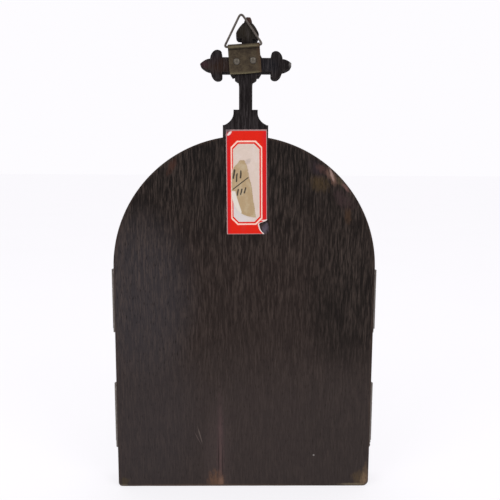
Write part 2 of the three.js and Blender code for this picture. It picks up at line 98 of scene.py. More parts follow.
@dataclass
class Shell:
    """A closed surface: points in millimetres, faces as rows of point numbers, and masks on the points."""

    points: np.ndarray
    faces: list[list[int]]
    masks: Masks = field(default_factory=dict)

    @classmethod
    def of_rings(cls, rings: np.ndarray, ends: Ends = Ends.FLAT, masks: Masks | None = None) -> "Shell":
        """Join rings of points into a surface, each point to its neighbours round and along.

        Args:
            rings: points, shaped (rings, points round, 3); a ring closes on itself.
            ends: how the first and last ring are closed.
            masks: named values shaped (rings, points round).

        Returns:
            The shell, with its faces pointing outwards.
        """
        count, around = rings.shape[:2]
        number = np.arange(count * around).reshape(count, around)
        near, far = (number, np.roll(number, -1, 0)) if ends is Ends.LOOP else (number[:-1], number[1:])
        quads = np.stack((near, np.roll(near, -1, 1), np.roll(far, -1, 1), far), axis=-1)
        faces = quads.reshape(-1, 4).tolist()
        points = rings.reshape(-1, 3)
        values = {name: mask.reshape(-1) for name, mask in (masks or {}).items()}
        if ends is Ends.FLAT:
            faces += [number[0][::-1].tolist(), number[-1].tolist()]
        elif ends is Ends.POLE:
            first = len(points)
            points = np.vstack((points, rings[0].mean(0), rings[-1].mean(0)))
            start = np.stack((np.full(around, first), np.roll(number[0], -1), number[0]), axis=-1)
            finish = np.stack((np.full(around, first + 1), number[-1], np.roll(number[-1], -1)), axis=-1)
            faces += start.tolist() + finish.tolist()
            values = {name: np.append(mask, (mask[0], mask[-1])) for name, mask in values.items()}
        shell = cls(points, faces, values)
        return shell if shell.volume() >= 0 else shell.turned()

    def volume(self) -> float:
        """Return the signed volume: a sixth of the sum of a . (b x c) over each face's fan of corners.

        Returns:
            The volume, which is negative when the faces point inwards.
        """
        total = 0.0
        for size in {len(face) for face in self.faces}:
            corners = self.points[np.array([face for face in self.faces if len(face) == size])]
            first, second, third = corners[:, :1], corners[:, 1:-1], corners[:, 2:]
            total += float((first * np.cross(second, third)).sum())
        return total / 6

    def turned(self) -> "Shell":
        """Return the same surface with its faces pointing the other way."""
        return Shell(self.points, [face[::-1] for face in self.faces], self.masks)

    def moved(self, place: Carry) -> "Shell":
        """Return the shell with its points carried by a function from points to points."""
        shell = Shell(place(self.points), self.faces, self.masks)
        return shell if shell.volume() >= 0 else shell.turned()


def build(name: str, *shells: Shell) -> bpy.types.Object:
    """Make one piece from closed shells, smooth except along its sharp edges.

    Args:
        name: the piece's name.
        shells: its shells, in millimetres.

    Returns:
        The linked object, at the origin, in metres.
    """
    starts = np.cumsum([0] + [len(shell.points) for shell in shells])
    points = np.vstack([shell.points for shell in shells]) * MM
    faces = [[int(v + start) for v in face] for shell, start in zip(shells, starts) for face in shell.faces]
    mesh = bpy.data.meshes.new(name)
    mesh.from_pydata(points.tolist(), [], faces)
    for mask in {key for shell in shells for key in shell.masks}:
        values = [shell.masks.get(mask, np.zeros(len(shell.points))) for shell in shells]
        layer = mesh.attributes.new(mask, "FLOAT", "POINT")
        layer.data.foreach_set("value", np.concatenate(values).astype(np.float32))
    mesh.polygons.foreach_set("use_smooth", np.ones(len(mesh.polygons), dtype=bool))
    mesh.set_sharp_from_angle(angle=SHARP_ANGLE)
    mesh.update()
    piece = bpy.data.objects.new(name, mesh)
    bpy.context.scene.collection.objects.link(piece)
    return piece


def box_mm(node: str) -> tuple[np.ndarray, np.ndarray]:
    """Return the lowest and highest corners of a CAD node in millimetres."""
    low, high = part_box(node)
    return np.array(low) / MM, np.array(high) / MM


def arc(x: float, z: float, radius: float, start: float, stop: float, count: int) -> np.ndarray:
    """Return points on an arc of a circle, from one angle up to but not including the other."""
    angle = np.linspace(start, stop, count, endpoint=False)
    return np.column_stack((x + radius * np.cos(angle), z + radius * np.sin(angle)))


def line(start: Place, stop: Place, count: int) -> np.ndarray:
    """Return evenly spaced points on a straight line, up to but not including its end."""
    return np.linspace(start, stop, count, endpoint=False)


def bend(start: Place, corner: Place, stop: Place, count: int, roundness: float = 0.6) -> np.ndarray:
    """Return points on a bend drawn towards a corner, up to but not including its end.

    The bend is a cubic curve whose handles lie at the given share of the way from each end to the
    corner: the point at share t is the sum of the four, weighted by (1-t)^3, 3t(1-t)^2, 3t^2(1-t), t^3.

    Args:
        start: where the bend starts.
        corner: the corner that it rounds off.
        stop: where it ends.
        count: how many points it has.
        roundness: the handles' share of the way to the corner; 1 comes closest to it.

    Returns:
        The points, shaped (count, 2).
    """
    t = np.linspace(0, 1, count, endpoint=False)[:, None]
    a, corner, d = (np.array(place, float) for place in (start, corner, stop))
    b, c = a + (corner - a) * roundness, d + (corner - d) * roundness
    return (1 - t) ** 3 * a + 3 * t * (1 - t) ** 2 * b + 3 * t**2 * (1 - t) * c + t**3 * d


def waver(count: int, turns: int, seed: int) -> np.ndarray:
    """Return a smooth closed waver about 0: cosines of 1 to turns waves round, with seeded phases.

    Args:
        count: how many points it has.
        turns: how many waves the quickest cosine makes.
        seed: seed of its strengths and phases.

    Returns:
        The waver at each point.
    """
    rng = np.random.default_rng(seed)
    wave = np.arange(1, turns + 1)
    angle = np.linspace(0, 2 * np.pi, count, endpoint=False)[:, None] * wave
    strength = rng.normal(0, 1, turns) / np.sqrt(turns)
    return (np.cos(angle + rng.uniform(0, 2 * np.pi, turns)) * strength).sum(1)


def inward(outline: np.ndarray, inset: float) -> np.ndarray:
    """Return a closed anticlockwise outline moved inwards along the mean normal at each point.

    A corner moves further by 1 / cos of half its turn, so that its sides keep the inset.

    Args:
        outline: the points, shaped (points, 2).
        inset: how far in it moves.

    Returns:
        The moved points.
    """
    ahead = np.roll(outline, -1, 0) - outline
    ahead /= np.linalg.norm(ahead, axis=1, keepdims=True)
    mean = ahead + np.roll(ahead, 1, 0)
    mean /= np.linalg.norm(mean, axis=1, keepdims=True)
    normal = np.column_stack((-mean[:, 1], mean[:, 0]))
    stretch = 1 / np.clip((mean * ahead).sum(1), LEAST_CORNER_COSINE, 1)
    return outline + normal * (inset * stretch)[:, None]


def quarter_round(size: float, count: int) -> list[Place]:
    """Return the rings of a rounded arris, edge first.

    At angle a, from 0 on the edge to a right angle on the face, a ring's inset is size (1 - cos a)
    and its depth below the face size (1 - sin a).

    Args:
        size: the arris's radius.
        count: how many rings it has.

    Returns:
        The inset and the depth of each.
    """
    return [(size * (1 - np.cos(a)), size * (1 - np.sin(a))) for a in np.linspace(0, np.pi / 2, count)]


def cove(size: float, depth: float, count: int) -> list[Place]:
    """Return the rings of a hollow moulding: insets size (1 - cos a), and depths depth sin a.

    Args:
        size: the moulding's width.
        depth: how deep it falls.
        count: how many rings it has.

    Returns:
        The inset and the depth of each.
    """
    return [(size * (1 - np.cos(a)), depth * np.sin(a)) for a in np.linspace(0, np.pi / 2, count)]


def directions(path: np.ndarray) -> tuple[np.ndarray, np.ndarray]:
    """Return the unit direction and the unit normal, on its left, at each point of an open path.

    Args:
        path: the points, shaped (points, 2).

    Returns:
        The directions and the normals.
    """
    ahead = np.gradient(path, axis=0)
    ahead /= np.linalg.norm(ahead, axis=1, keepdims=True)
    return ahead, np.column_stack((-ahead[:, 1], ahead[:, 0]))


def fade(distance: np.ndarray, width: float) -> np.ndarray:
    """Return 1 at a distance of 0 or less, falling evenly to 0 at the width."""
    return np.clip(1 - distance / width, 0, 1)


def bump(distance: np.ndarray, width: float) -> np.ndarray:
    """Return a smooth bump exp(-(d/w)^2)."""
    return np.exp(-((distance / width) ** 2))


def upright(outline: np.ndarray, y: float) -> np.ndarray:
    """Stand an outline of x and z at depth y."""
    return np.column_stack((outline[:, 0], np.full(len(outline), y), outline[:, 1]))


def lathe(profile: np.ndarray, sides: int) -> np.ndarray:
    """Turn a profile about the Z axis: the point at angle a is (r cos a, r sin a, h).

    Args:
        profile: radius and height of each point, shaped (points, 2).
        sides: how many points it has round.

    Returns:
        The rings, shaped (points, sides, 3).
    """
    angle = np.linspace(0, 2 * np.pi, sides, endpoint=False)
    radius, height = profile[:, :1], profile[:, 1:]
    return np.stack((radius * np.cos(angle), radius * np.sin(angle), height + 0 * angle), axis=-1)


# ---- Shader arithmetic ----


class Value:
    """A shader socket that takes part in Python arithmetic: each operation adds a Math node."""

    def __init__(self, paint: "Paint", socket: bpy.types.NodeSocket) -> None:
        """Wrap a socket of a paint's node tree."""
        self.paint = paint
        self.socket = socket

    def __add__(self, other: "Value | float") -> "Value":
        """Return the sum."""
        return self.paint.math("ADD", self, other)

    def __sub__(self, other: "Value | float") -> "Value":
        """Return the difference."""
        return self.paint.math("SUBTRACT", self, other)

    def __rsub__(self, other: float) -> "Value":
        """Return the difference, taken from a number."""
        return self.paint.math("SUBTRACT", other, self)

    def __mul__(self, other: "Value | float") -> "Value":
        """Return the product."""
        return self.paint.math("MULTIPLY", self, other)

    def __truediv__(self, other: "Value | float") -> "Value":
        """Return the quotient."""
        return self.paint.math("DIVIDE", self, other)

    def __pow__(self, other: float) -> "Value":
        """Return the power."""
        return self.paint.math("POWER", self, other)

    def __abs__(self) -> "Value":
        """Return the absolute value."""
        return self.paint.math("ABSOLUTE", self)

    __radd__ = __add__
    __rmul__ = __mul__

    def least(self, other: "Value | float") -> "Value":
        """Return the smaller of the two."""
        return self.paint.math("MINIMUM", self, other)

    def most(self, other: "Value | float") -> "Value":
        """Return the larger of the two."""
        return self.paint.math("MAXIMUM", self, other)

    def ramp(self, low: float, high: float) -> "Value":
        """Return a smooth step from 0 at low to 1 at high; with low above high it falls instead.

        Args:
            low: where it is 0.
            high: where it is 1.

        Returns:
            The step.
        """
        limits = {"Value": self, "From Min": low, "From Max": high}
        node = self.paint.node("ShaderNodeMapRange", {"interpolation_type": "SMOOTHSTEP"}, limits)
        return Value(self.paint, node.outputs[0])


class Paint:
    """A node tree under construction."""

    def __init__(self, tree: bpy.types.NodeTree) -> None:
        """Start on an emptied tree."""
        self.tree = tree
        self.tree.nodes.clear()

    def node(self, kind: str, settings: dict, inputs: dict) -> bpy.types.Node:
        """Add a node: its settings first, then the values or links of its sockets.

        Args:
            kind: the node's type name.
            settings: its own properties; "stops" holds a ramp's (place, colour) pairs.
            inputs: socket name or number to a number, colour, Value or output socket.

        Returns:
            The node.
        """
        node = self.tree.nodes.new(kind)
        for name, setting in settings.items():
            if name != "stops":
                setattr(node, name, setting)
        for number, (place, colour) in enumerate(settings.get("stops", ())):
            elements = node.color_ramp.elements
            element = elements[number] if number < 2 else elements.new(place)
            element.position, element.color = place, (*colour, 1.0)
        for name, value in inputs.items():
            if isinstance(value, Value):
                value = value.socket
            if isinstance(value, bpy.types.NodeSocket):
                self.tree.links.new(value, node.inputs[name])
            else:
                node.inputs[name].default_value = value
        return node

    def math(self, operation: str, *operands: "Value | float") -> Value:
        """Add a Math node and return its result."""
        node = self.node("ShaderNodeMath", {"operation": operation}, dict(enumerate(operands)))
        return Value(self, node.outputs[0])

    def mix(self, under: "Value | Colour", over: "Value | Colour", share: "Value | float") -> Value:
        """Lay one colour over another.

        Args:
            under: the lower colour.
            over: the upper one.
            share: how much of the upper one shows, from 0 to 1.

        Returns:
            The mixed colour.
        """
        colours = [(*c, 1.0) if isinstance(c, tuple) else c for c in (under, over)]
        settings = {"data_type": "RGBA", "clamp_factor": True}
        node = self.node("ShaderNodeMix", settings, {0: share, 6: colours[0], 7: colours[1]})
        return Value(self, node.outputs[2])

    def tones(self, place: Value, stops: tuple[Stop, ...]) -> Value:
        """Return a colour that passes through the given stops as the place goes from 0 to 1."""
        return Value(self, self.node("ShaderNodeValToRGB", {"stops": stops}, {0: place}).outputs[0])

    def vector(self, x: "Value | float", y: "Value | float", z: "Value | float") -> Value:
        """Return a vector of three values."""
        return Value(self, self.node("ShaderNodeCombineXYZ", {}, {0: x, 1: y, 2: z}).outputs[0])

    def parts(self, vector: bpy.types.NodeSocket) -> list[Value]:
        """Return the three values of a vector."""
        node = self.node("ShaderNodeSeparateXYZ", {}, {0: vector})
        return [Value(self, socket) for socket in node.outputs]


class PiecePaint(Paint):
    """A piece's material under construction, with its pattern coordinates in millimetres."""

    def __init__(self, name: str) -> None:
        """Start an empty material.

        Args:
            name: its name.
        """
        self.material = bpy.data.materials.new(name)
        self.material.use_nodes = True
        super().__init__(self.material.node_tree)
        place = self.node("ShaderNodeTexCoord", {}, {}).outputs["Object"]
        scaled = self.node("ShaderNodeVectorMath", {"operation": "SCALE"}, {0: place, "Scale": 1 / MM})
        self.point = scaled.outputs[0]
        self.x, self.y, self.z = self.parts(self.point)

    def noise(
        self, per_mm: Spot, detail: float = 2.0, rough: float = 0.5, point: Value | None = None
    ) -> Value:
        """Return smooth noise from 0 to 1.

        Args:
            per_mm: how many features a millimetre holds along X, Y and Z.
            detail: how many finer octaves are added.
            rough: the strength of each finer octave.
            point: the pattern's place in millimetres, or None for the piece's own.

        Returns:
            The noise, about 0.5.
        """
        place = self.point if point is None else point
        scaled = self.node("ShaderNodeVectorMath", {"operation": "MULTIPLY"}, {0: place, 1: per_mm})
        sockets = {"Vector": scaled.outputs[0], "Scale": 1.0, "Detail": detail, "Roughness": rough}
        return Value(self, self.node("ShaderNodeTexNoise", {}, sockets).outputs[0])

    def mask(self, name: str) -> Value:
        """Return a mask that the mesh carries."""
        return Value(self, self.node("ShaderNodeAttribute", {"attribute_name": name}, {}).outputs["Fac"])

    def finish(self, height: Value, sockets: dict) -> bpy.types.Material:
        """Close the material with its main shader.

        Args:
            height: the relief in millimetres, which bends the normals.
            sockets: the main shader's sockets.

        Returns:
            The finished material.
        """
        bump = self.node("ShaderNodeBump", {}, {"Height": height, "Distance": MM, "Strength": 1.0})
        shader = self.node("ShaderNodeBsdfPrincipled", {}, {"Normal": bump.outputs[0], **sockets})
        self.node("ShaderNodeOutputMaterial", {}, {0: shader.outputs[0]})
        return self.material


# ---- Finishes ----


@dataclass(frozen=True)
class Rub:
    """A place on a board where the black stain has rubbed or split: its middle, half sizes and lean."""

    across: float
    height: float
    half_width: float
    half_height: float
    colour: Colour
    strength: float = 0.8
    lean: float = 0.0
    ragged: float = 3.6

    def lay(self, paint: PiecePaint, colour: Value, where: Value) -> Value:
        """Lay the rub over a colour.

        Its share falls with (a/half_width)^2 + (h/half_height)^2, broken up by mottled upright noise.

        Args:
            paint: the board's paint.
            colour: the colour so far.
            where: 1 on the face that the rub is on, and 0 elsewhere.

        Returns:
            The colour with the rub.
        """
        h = paint.z - self.height
        a = paint.x + self.across - h * self.lean
        reach = (a / self.half_width) ** 2 + (h / self.half_height) ** 2
        broken = paint.noise((0.75, 0.75, 0.24), 4, 0.7)
        share = (reach + (broken - 0.5) * self.ragged).ramp(1.45, -0.35)
        return paint.mix(colour, self.colour, share * where * self.strength)


@dataclass(frozen=True)
class Wash:
    """A broad soft change of a board's tone: its middle, half sizes, colour and strength."""

    across: float
    height: float
    half_width: float
    half_height: float
    colour: Colour
    strength: float

    def lay(self, paint: PiecePaint, colour: Value, where: Value) -> Value:
        """Lay the wash over a colour, fading smoothly with (a/half_width)^2 + (h/half_height)^2.

        Args:
            paint: the board's paint.
            colour: the colour so far.
            where: 1 on the face that the wash is on, and 0 elsewhere.

        Returns:
            The colour with the wash.
        """
        a, h = paint.x + self.across, paint.z - self.height
        reach = (a / self.half_width) ** 2 + (h / self.half_height) ** 2
        return paint.mix(colour, self.colour, reach.ramp(1.7, 0.0) * where * self.strength)


@dataclass(frozen=True)
class BlackenedOak:
    """Oak stained black: short pale ridges between upright pores, on a tone that changes up the board."""

    name: str
    tones: tuple[Stop, ...]
    tall: float = 227.0
    ridge: Colour = (0.104, 0.075, 0.063)
    pore: Colour = (0.0050, 0.0036, 0.0032)
    # Edge colour: worn stain together with a painted highlight on the arrises.
    worn: Colour = (0.060, 0.036, 0.026)
    roughness: float = 0.55
    gloss: float = 0.1
    calm_foot: float = 0.4
    washes: tuple[Wash, ...] = ()
    rubs: tuple[Rub, ...] = ()
    back_y: float = 8.85

    def material(self) -> bpy.types.Material:
        """Make the wood's material.

        The grain is noise drawn out seven times and more along Z, on a place whose x is pushed to and
        fro by slow noises, so that the ridges run in gentle waves. Towards the foot they calm down.

        Returns:
            The material.
        """
        paint = PiecePaint(self.name)
        slow = paint.noise((0.018, 0.018, 0.011), 2) - 0.5
        quick = paint.noise((0.06, 0.06, 0.05), 2) - 0.5
        place = paint.vector(paint.x + slow * 4 + quick * 1.2, paint.y, paint.z)
        ridges = paint.noise((1.2, 1.2, 0.11), 2, 0.6, place)
        fibres = paint.noise((2.6, 2.6, 0.28), 2, 0.6, place)
        pores = paint.noise((1.7, 1.7, 0.24), 2, 0.55, place).ramp(0.56, 0.70)
        clouds = paint.noise((0.045, 0.045, 0.025), 3, 0.6)
        height_share = paint.z / self.tall + (clouds - 0.5) * 0.12
        colour = paint.tones(height_share, self.tones)
        on_back = paint.y.ramp(self.back_y - 0.9, self.back_y - 0.4)
        for wash in self.washes:
            colour = wash.lay(paint, colour, on_back)
        lively = (paint.z / self.tall).ramp(0.1, 0.75) * (1 - self.calm_foot) + self.calm_foot
        pale = (ridges * 0.75 + fibres * 0.25).ramp(0.39, 0.72)
        colour = paint.mix(colour, self.ridge, pale * lively * (clouds * 0.5 + 0.2))
        for rub in self.rubs:
            colour = rub.lay(paint, colour, on_back)
        colour = paint.mix(colour, self.pore, pores * lively * 0.75)
        speck = paint.noise((0.5, 0.5, 0.13), 3, 0.65)
        # Painted highlight along the arrises, with real wear: the worn colour is speckled over the edge
        # mask.
        wear = (paint.mask("edge") * (speck * 1.9 - 0.35)).ramp(0.18, 0.9)
        colour = paint.mix(colour, self.worn, wear * 0.4)
        rough = self.roughness + (fibres - 0.5) * 0.22 + pores * 0.2 - wear * 0.08 + paint.mask("sawn") * 0.5
        height = ridges * 0.05 + fibres * 0.04 - pores * 0.06
        sockets = {"Base Color": colour, "Roughness": rough, "Specular IOR Level": self.gloss}
        return paint.finish(height, sockets)


@dataclass(frozen=True)
class OldMetal:
    """Aged metal: tarnish in patches, fine scratches, a paler rub with a painted highlight on the edges,
    painted shade on a fold; rim dims grazing gleams.
    """

    name: str
    bright: Colour
    tarnish: Colour
    metal: float
    roughness: float
    tarnish_share: float = 0.6
    rim: float = 1.0
    gloss: float = 0.5
    lit: Colour = (0.16, 0.14, 0.10)
    shade: Colour = (0.02, 0.017, 0.013)
    rust: Colour = (0.075, 0.036, 0.02)

    def material(self) -> bpy.types.Material:
        """Make the metal's material; the crown of a fold and its crease get painted shade, and its rusty
        corners are reddish brown.

        Returns:
            The material.
        """
        paint = PiecePaint(self.name)
        patches = paint.noise((0.35, 0.35, 0.35), 4, 0.62)
        grime = paint.noise((1.8, 1.8, 1.8), 3, 0.6)
        scratch = paint.noise((0.5, 2.0, 6.0), 2, 0.5)
        share = (patches * 0.7 + grime * 0.3).ramp(0.36, 0.64) * self.tarnish_share
        rubbed = paint.mask("edge") * (grime * 0.8 + 0.3)
        colour = paint.mix(self.bright, self.tarnish, share * (1 - rubbed * 0.75))
        # Painted highlight: the lit colour on the masked edges, a strap's bead and foot and a nail's crown,
        # where the metal is also rubbed.
        colour = paint.mix(colour, self.lit, rubbed * 0.75)
        colour = paint.mix(colour, self.rust, paint.mask("rust") * (patches * 1.4).least(1.0))
        # Painted shade: the shade colour on the crown of a strap's fold and in its crease.
        colour = paint.mix(colour, self.shade, paint.mask("crown") * 0.9)
        rough = self.roughness + (grime - 0.5) * 0.2 + share * 0.15 - rubbed * 0.1
        height = grime * 0.02 + scratch * 0.012 + patches * 0.02
        rim = (self.rim, self.rim, self.rim, 1.0)
        sockets = {"Base Color": colour, "Roughness": rough, "Metallic": self.metal}
        return paint.finish(height, {**sockets, "Specular Tint": rim, "Specular IOR Level": self.gloss})


@dataclass(frozen=True)
class GluedPaper:
    """Base of the papers on the back: the place of their middle and their tilt."""

    across: float
    height: float
    tilt: float

    def own_place(self, paint: PiecePaint) -> tuple[Value, Value]:
        """Find the place across and up the paper, from its middle, in millimetres.

        Args:
            paint: the paper's paint.

        Returns:
            The two values.
        """
        cos, sin = float(np.cos(self.tilt)), float(np.sin(self.tilt))
        right, rise = (paint.x + self.across) * -1, paint.z - self.height
        return right * cos + rise * sin, rise * cos - right * sin


@dataclass(frozen=True)
class RedLabel(GluedPaper):
    """Printed paper: a red ground, a pale key line round a clipped field, and a bare paper edge."""

    red: Colour = (0.70, 0.013, 0.003)
    deep_red: Colour = (0.60, 0.006, 0.014)
    paper: Colour = (0.80, 0.68, 0.64)
    key: Colour = (0.92, 0.62, 0.52)
    bare_edge: Colour = (0.42, 0.26, 0.25)
    field_paper: Colour = (0.66, 0.54, 0.465)
    cool_paper: Colour = (0.66, 0.62, 0.62)
    grime: Colour = (0.11, 0.092, 0.10)
    key_outside: ClippedBox = ((-9.7, -26.3), (9.6, 25.4), 3.9)
    key_inside: ClippedBox = ((-8.95, -25.4), (8.85, 24.5), 3.6)
    field_box: ClippedBox = ((-8.3, -24.4), (7.95, 23.5), 3.3)
    printed_box: ClippedBox = ((-12.0, -31.85), (12.15, 31.35), 0.4)
    print_softness: float = 0.16

    @staticmethod
    def clipped(across: Value, up: Value, low: Place, high: Place, clip: float) -> Value:
        """Return the distance outside a rectangle whose corners are clipped at 45 degrees.

        Args:
            across: the place across the label.
            up: the place up the label.
            low: left and lower edge, in millimetres.
            high: right and upper edge.
            clip: length that is cut off each side of a corner.

        Returns:
            The distance, below 0 inside.
        """
        half_x, half_z = (high[0] - low[0]) / 2, (high[1] - low[1]) / 2
        off_x = abs(across - (high[0] + low[0]) / 2)
        off_z = abs(up - (high[1] + low[1]) / 2)
        corner = (off_x + off_z - (half_x + half_z - clip)) * HALF_ROOT
        return (off_x - half_x).most(off_z - half_z).most(corner)

    def material(self) -> bpy.types.Material:
        """Make the label's material from distances to clipped rectangles about its own centre.

        Returns:
            The material.
        """
        paint = PiecePaint("printed label paper")
        soft = (paint.noise((0.9, 0.9, 0.9), 2) - 0.5) * 0.25
        across, up = (place + soft for place in self.own_place(paint))
        key_outer = self.clipped(across, up, *self.key_outside)
        key_inner = self.clipped(across, up, *self.key_inside)
        rim = self.clipped(across, up, *self.field_box)
        margin = self.clipped(across, up, *self.printed_box)
        fibre = paint.noise((2.2, 2.2, 2.2), 4, 0.65)
        stain = paint.noise((0.16, 0.16, 0.12), 3, 0.6)
        edge = self.print_softness
        side = (abs(across) * 0.2 - 1.6 + (stain - 0.5)).ramp(0.0, 1.0)
        printed = paint.mix(self.red, self.deep_red, side)
        printed = paint.mix(printed, self.key, key_outer.ramp(edge, -edge) * key_inner.ramp(-edge, edge))
        lower_left = ((across * -1 - 2) * 0.12 + (up * -1 - 2) * 0.05).ramp(0.0, 1.0)
        pale = paint.mix(self.field_paper, self.paper, stain.ramp(0.45, 0.7) * 0.4)
        pale = paint.mix(pale, self.cool_paper, lower_left * 0.8)
        printed = paint.mix(printed, pale, rim.ramp(edge, -edge))
        printed = paint.mix(printed, self.bare_edge, margin.ramp(-edge, edge))
        nick = ((across + 10.4) ** 2 * 0.5 + (up - 29.8 - (across + 10.4) * 0.7) ** 2).ramp(1.4, 0.4)
        printed = paint.mix(printed, self.paper, paint.mask("torn").ramp(0.35, 0.75))
        smudge = ((across - 0.6) ** 2 * 0.3 + (up - 12.4 - across * 0.4) ** 2 * 0.5).ramp(2.2, 0.0)
        printed = paint.mix(printed, self.grime, smudge * (fibre * 1.4 - 0.35).most(0.0) * 0.7)
        dirt = (fibre * 0.5 + stain * 0.5).ramp(0.52, 0.72)
        printed = paint.mix(printed, self.grime, dirt * 0.22 + paint.mask("grime") * 0.85)
        printed = paint.mix(printed, self.paper, nick * 0.95)
        height = fibre * 0.03 + stain * 0.05
        rough = 0.5 + (fibre - 0.5) * 0.2
        return paint.finish(height, {"Base Color": printed, "Roughness": rough, "Specular IOR Level": 0.15})


@dataclass(frozen=True)
class Stroke:
    """A pen stroke on the sticker, as a straight bar between two places."""

    across: float
    height: float
    run: float
    rise: float
    half_width: float = 0.36

    def ink(self, across: Value, up: Value) -> Value:
        """Return the share of ink: 1 within the bar and 0 outside it.

        The distance is that of the place from its nearest point on the bar, found by the share
        t = ((p - a) . (b - a)) / |b - a|^2, held between 0 and 1.

        Args:
            across: the place across the sticker.
            up: the place up the sticker.

        Returns:
            The ink's share.
        """
        a, h = across - self.across, up - self.height
        length = self.run**2 + self.rise**2
        share = ((a * self.run + h * self.rise) / length).most(0.0).least(1.0)
        distance = ((a - share * self.run) ** 2 + (h - share * self.rise) ** 2) ** 0.5
        return distance.ramp(self.half_width + 0.16, self.half_width - 0.12)


@dataclass(frozen=True)
class BuffSticker(GluedPaper):
    """A buff gummed paper with a paler torn edge and a few plain pen strokes."""

    strokes: tuple[Stroke, ...]
    buff: Colour = (0.42, 0.30, 0.165)
    pale: Colour = (0.72, 0.66, 0.58)
    light_buff: Colour = (0.52, 0.42, 0.28)
    ink: Colour = (0.014, 0.012, 0.011)

    def material(self) -> bpy.types.Material:
        """Make the sticker's material, the inks of its strokes joined by the largest.

        Returns:
            The material.
        """
        paint = PiecePaint("buff sticker paper")
        fibre = paint.noise((1.6, 1.6, 1.6), 4, 0.65)
        stain = paint.noise((0.22, 0.22, 0.16), 3, 0.6)
        colour = paint.mix(self.buff, self.light_buff, (stain * 0.8 + fibre * 0.2).ramp(0.46, 0.66) * 0.7)
        colour = paint.mix(colour, self.pale, paint.mask("torn").ramp(0.3, 0.7))
        wobble = (paint.noise((0.6, 0.6, 0.6), 2) - 0.5) * 0.7
        across, up = (place + wobble for place in self.own_place(paint))
        ink = self.strokes[0].ink(across, up)
        for stroke in self.strokes[1:]:
            ink = ink.most(stroke.ink(across, up))
        colour = paint.mix(colour, self.ink, ink * 0.92)
        sockets = {"Base Color": colour, "Roughness": 0.6 + (fibre - 0.5) * 0.2, "Specular IOR Level": 0.3}
        return paint.finish(fibre * 0.04, sockets)


# ---- Pieces ----


@dataclass
class Part:
    """Base of every sub-assembly: it names the body that its pieces ride on and reports each piece."""

    def settle(
        self, piece: bpy.types.Object, material: bpy.types.Material, slot: str, body: str, *nodes: str
    ) -> None:
        """Dress a piece, put it on its body and let it stand for its CAD nodes.

        Args:
            piece: the finished piece.
            material: its finish.
            slot: the name of a material slot; it is not used.
            body: the body it moves with.
            nodes: the CAD nodes it stands for.
        """
        piece.data.materials.clear()
        piece.data.materials.append(material)
        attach(piece, body)
        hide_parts(*nodes)
        LOG.info("%s: %d faces on %s, for %s", piece.name, len(piece.data.polygons), body, ", ".join(nodes))


@dataclass
class Board(Part):
    """Base of the panel and the wings: the sizes that they share.

    Attributes:
        spring_height: where the straight sides end and the round head begins.
        foot_corner: radius of the rounded corners at the foot.
        arris: radius of the worn arrises.
        arris_steps: rings on each arris.
        moulding: width of the hollow moulding round a sunk field.
        moulding_steps: rings on the moulding.
        rim_insets: insets of the rings on the flat border.
    """

    spring_height: float = 145.8
    foot_corner: float = 2.5
    arris: float = 0.75
    arris_steps: int = 5
    moulding: float = 3.0
    moulding_steps: int = 7
    rim_insets: tuple[float, ...] = (1.6, 4.0)


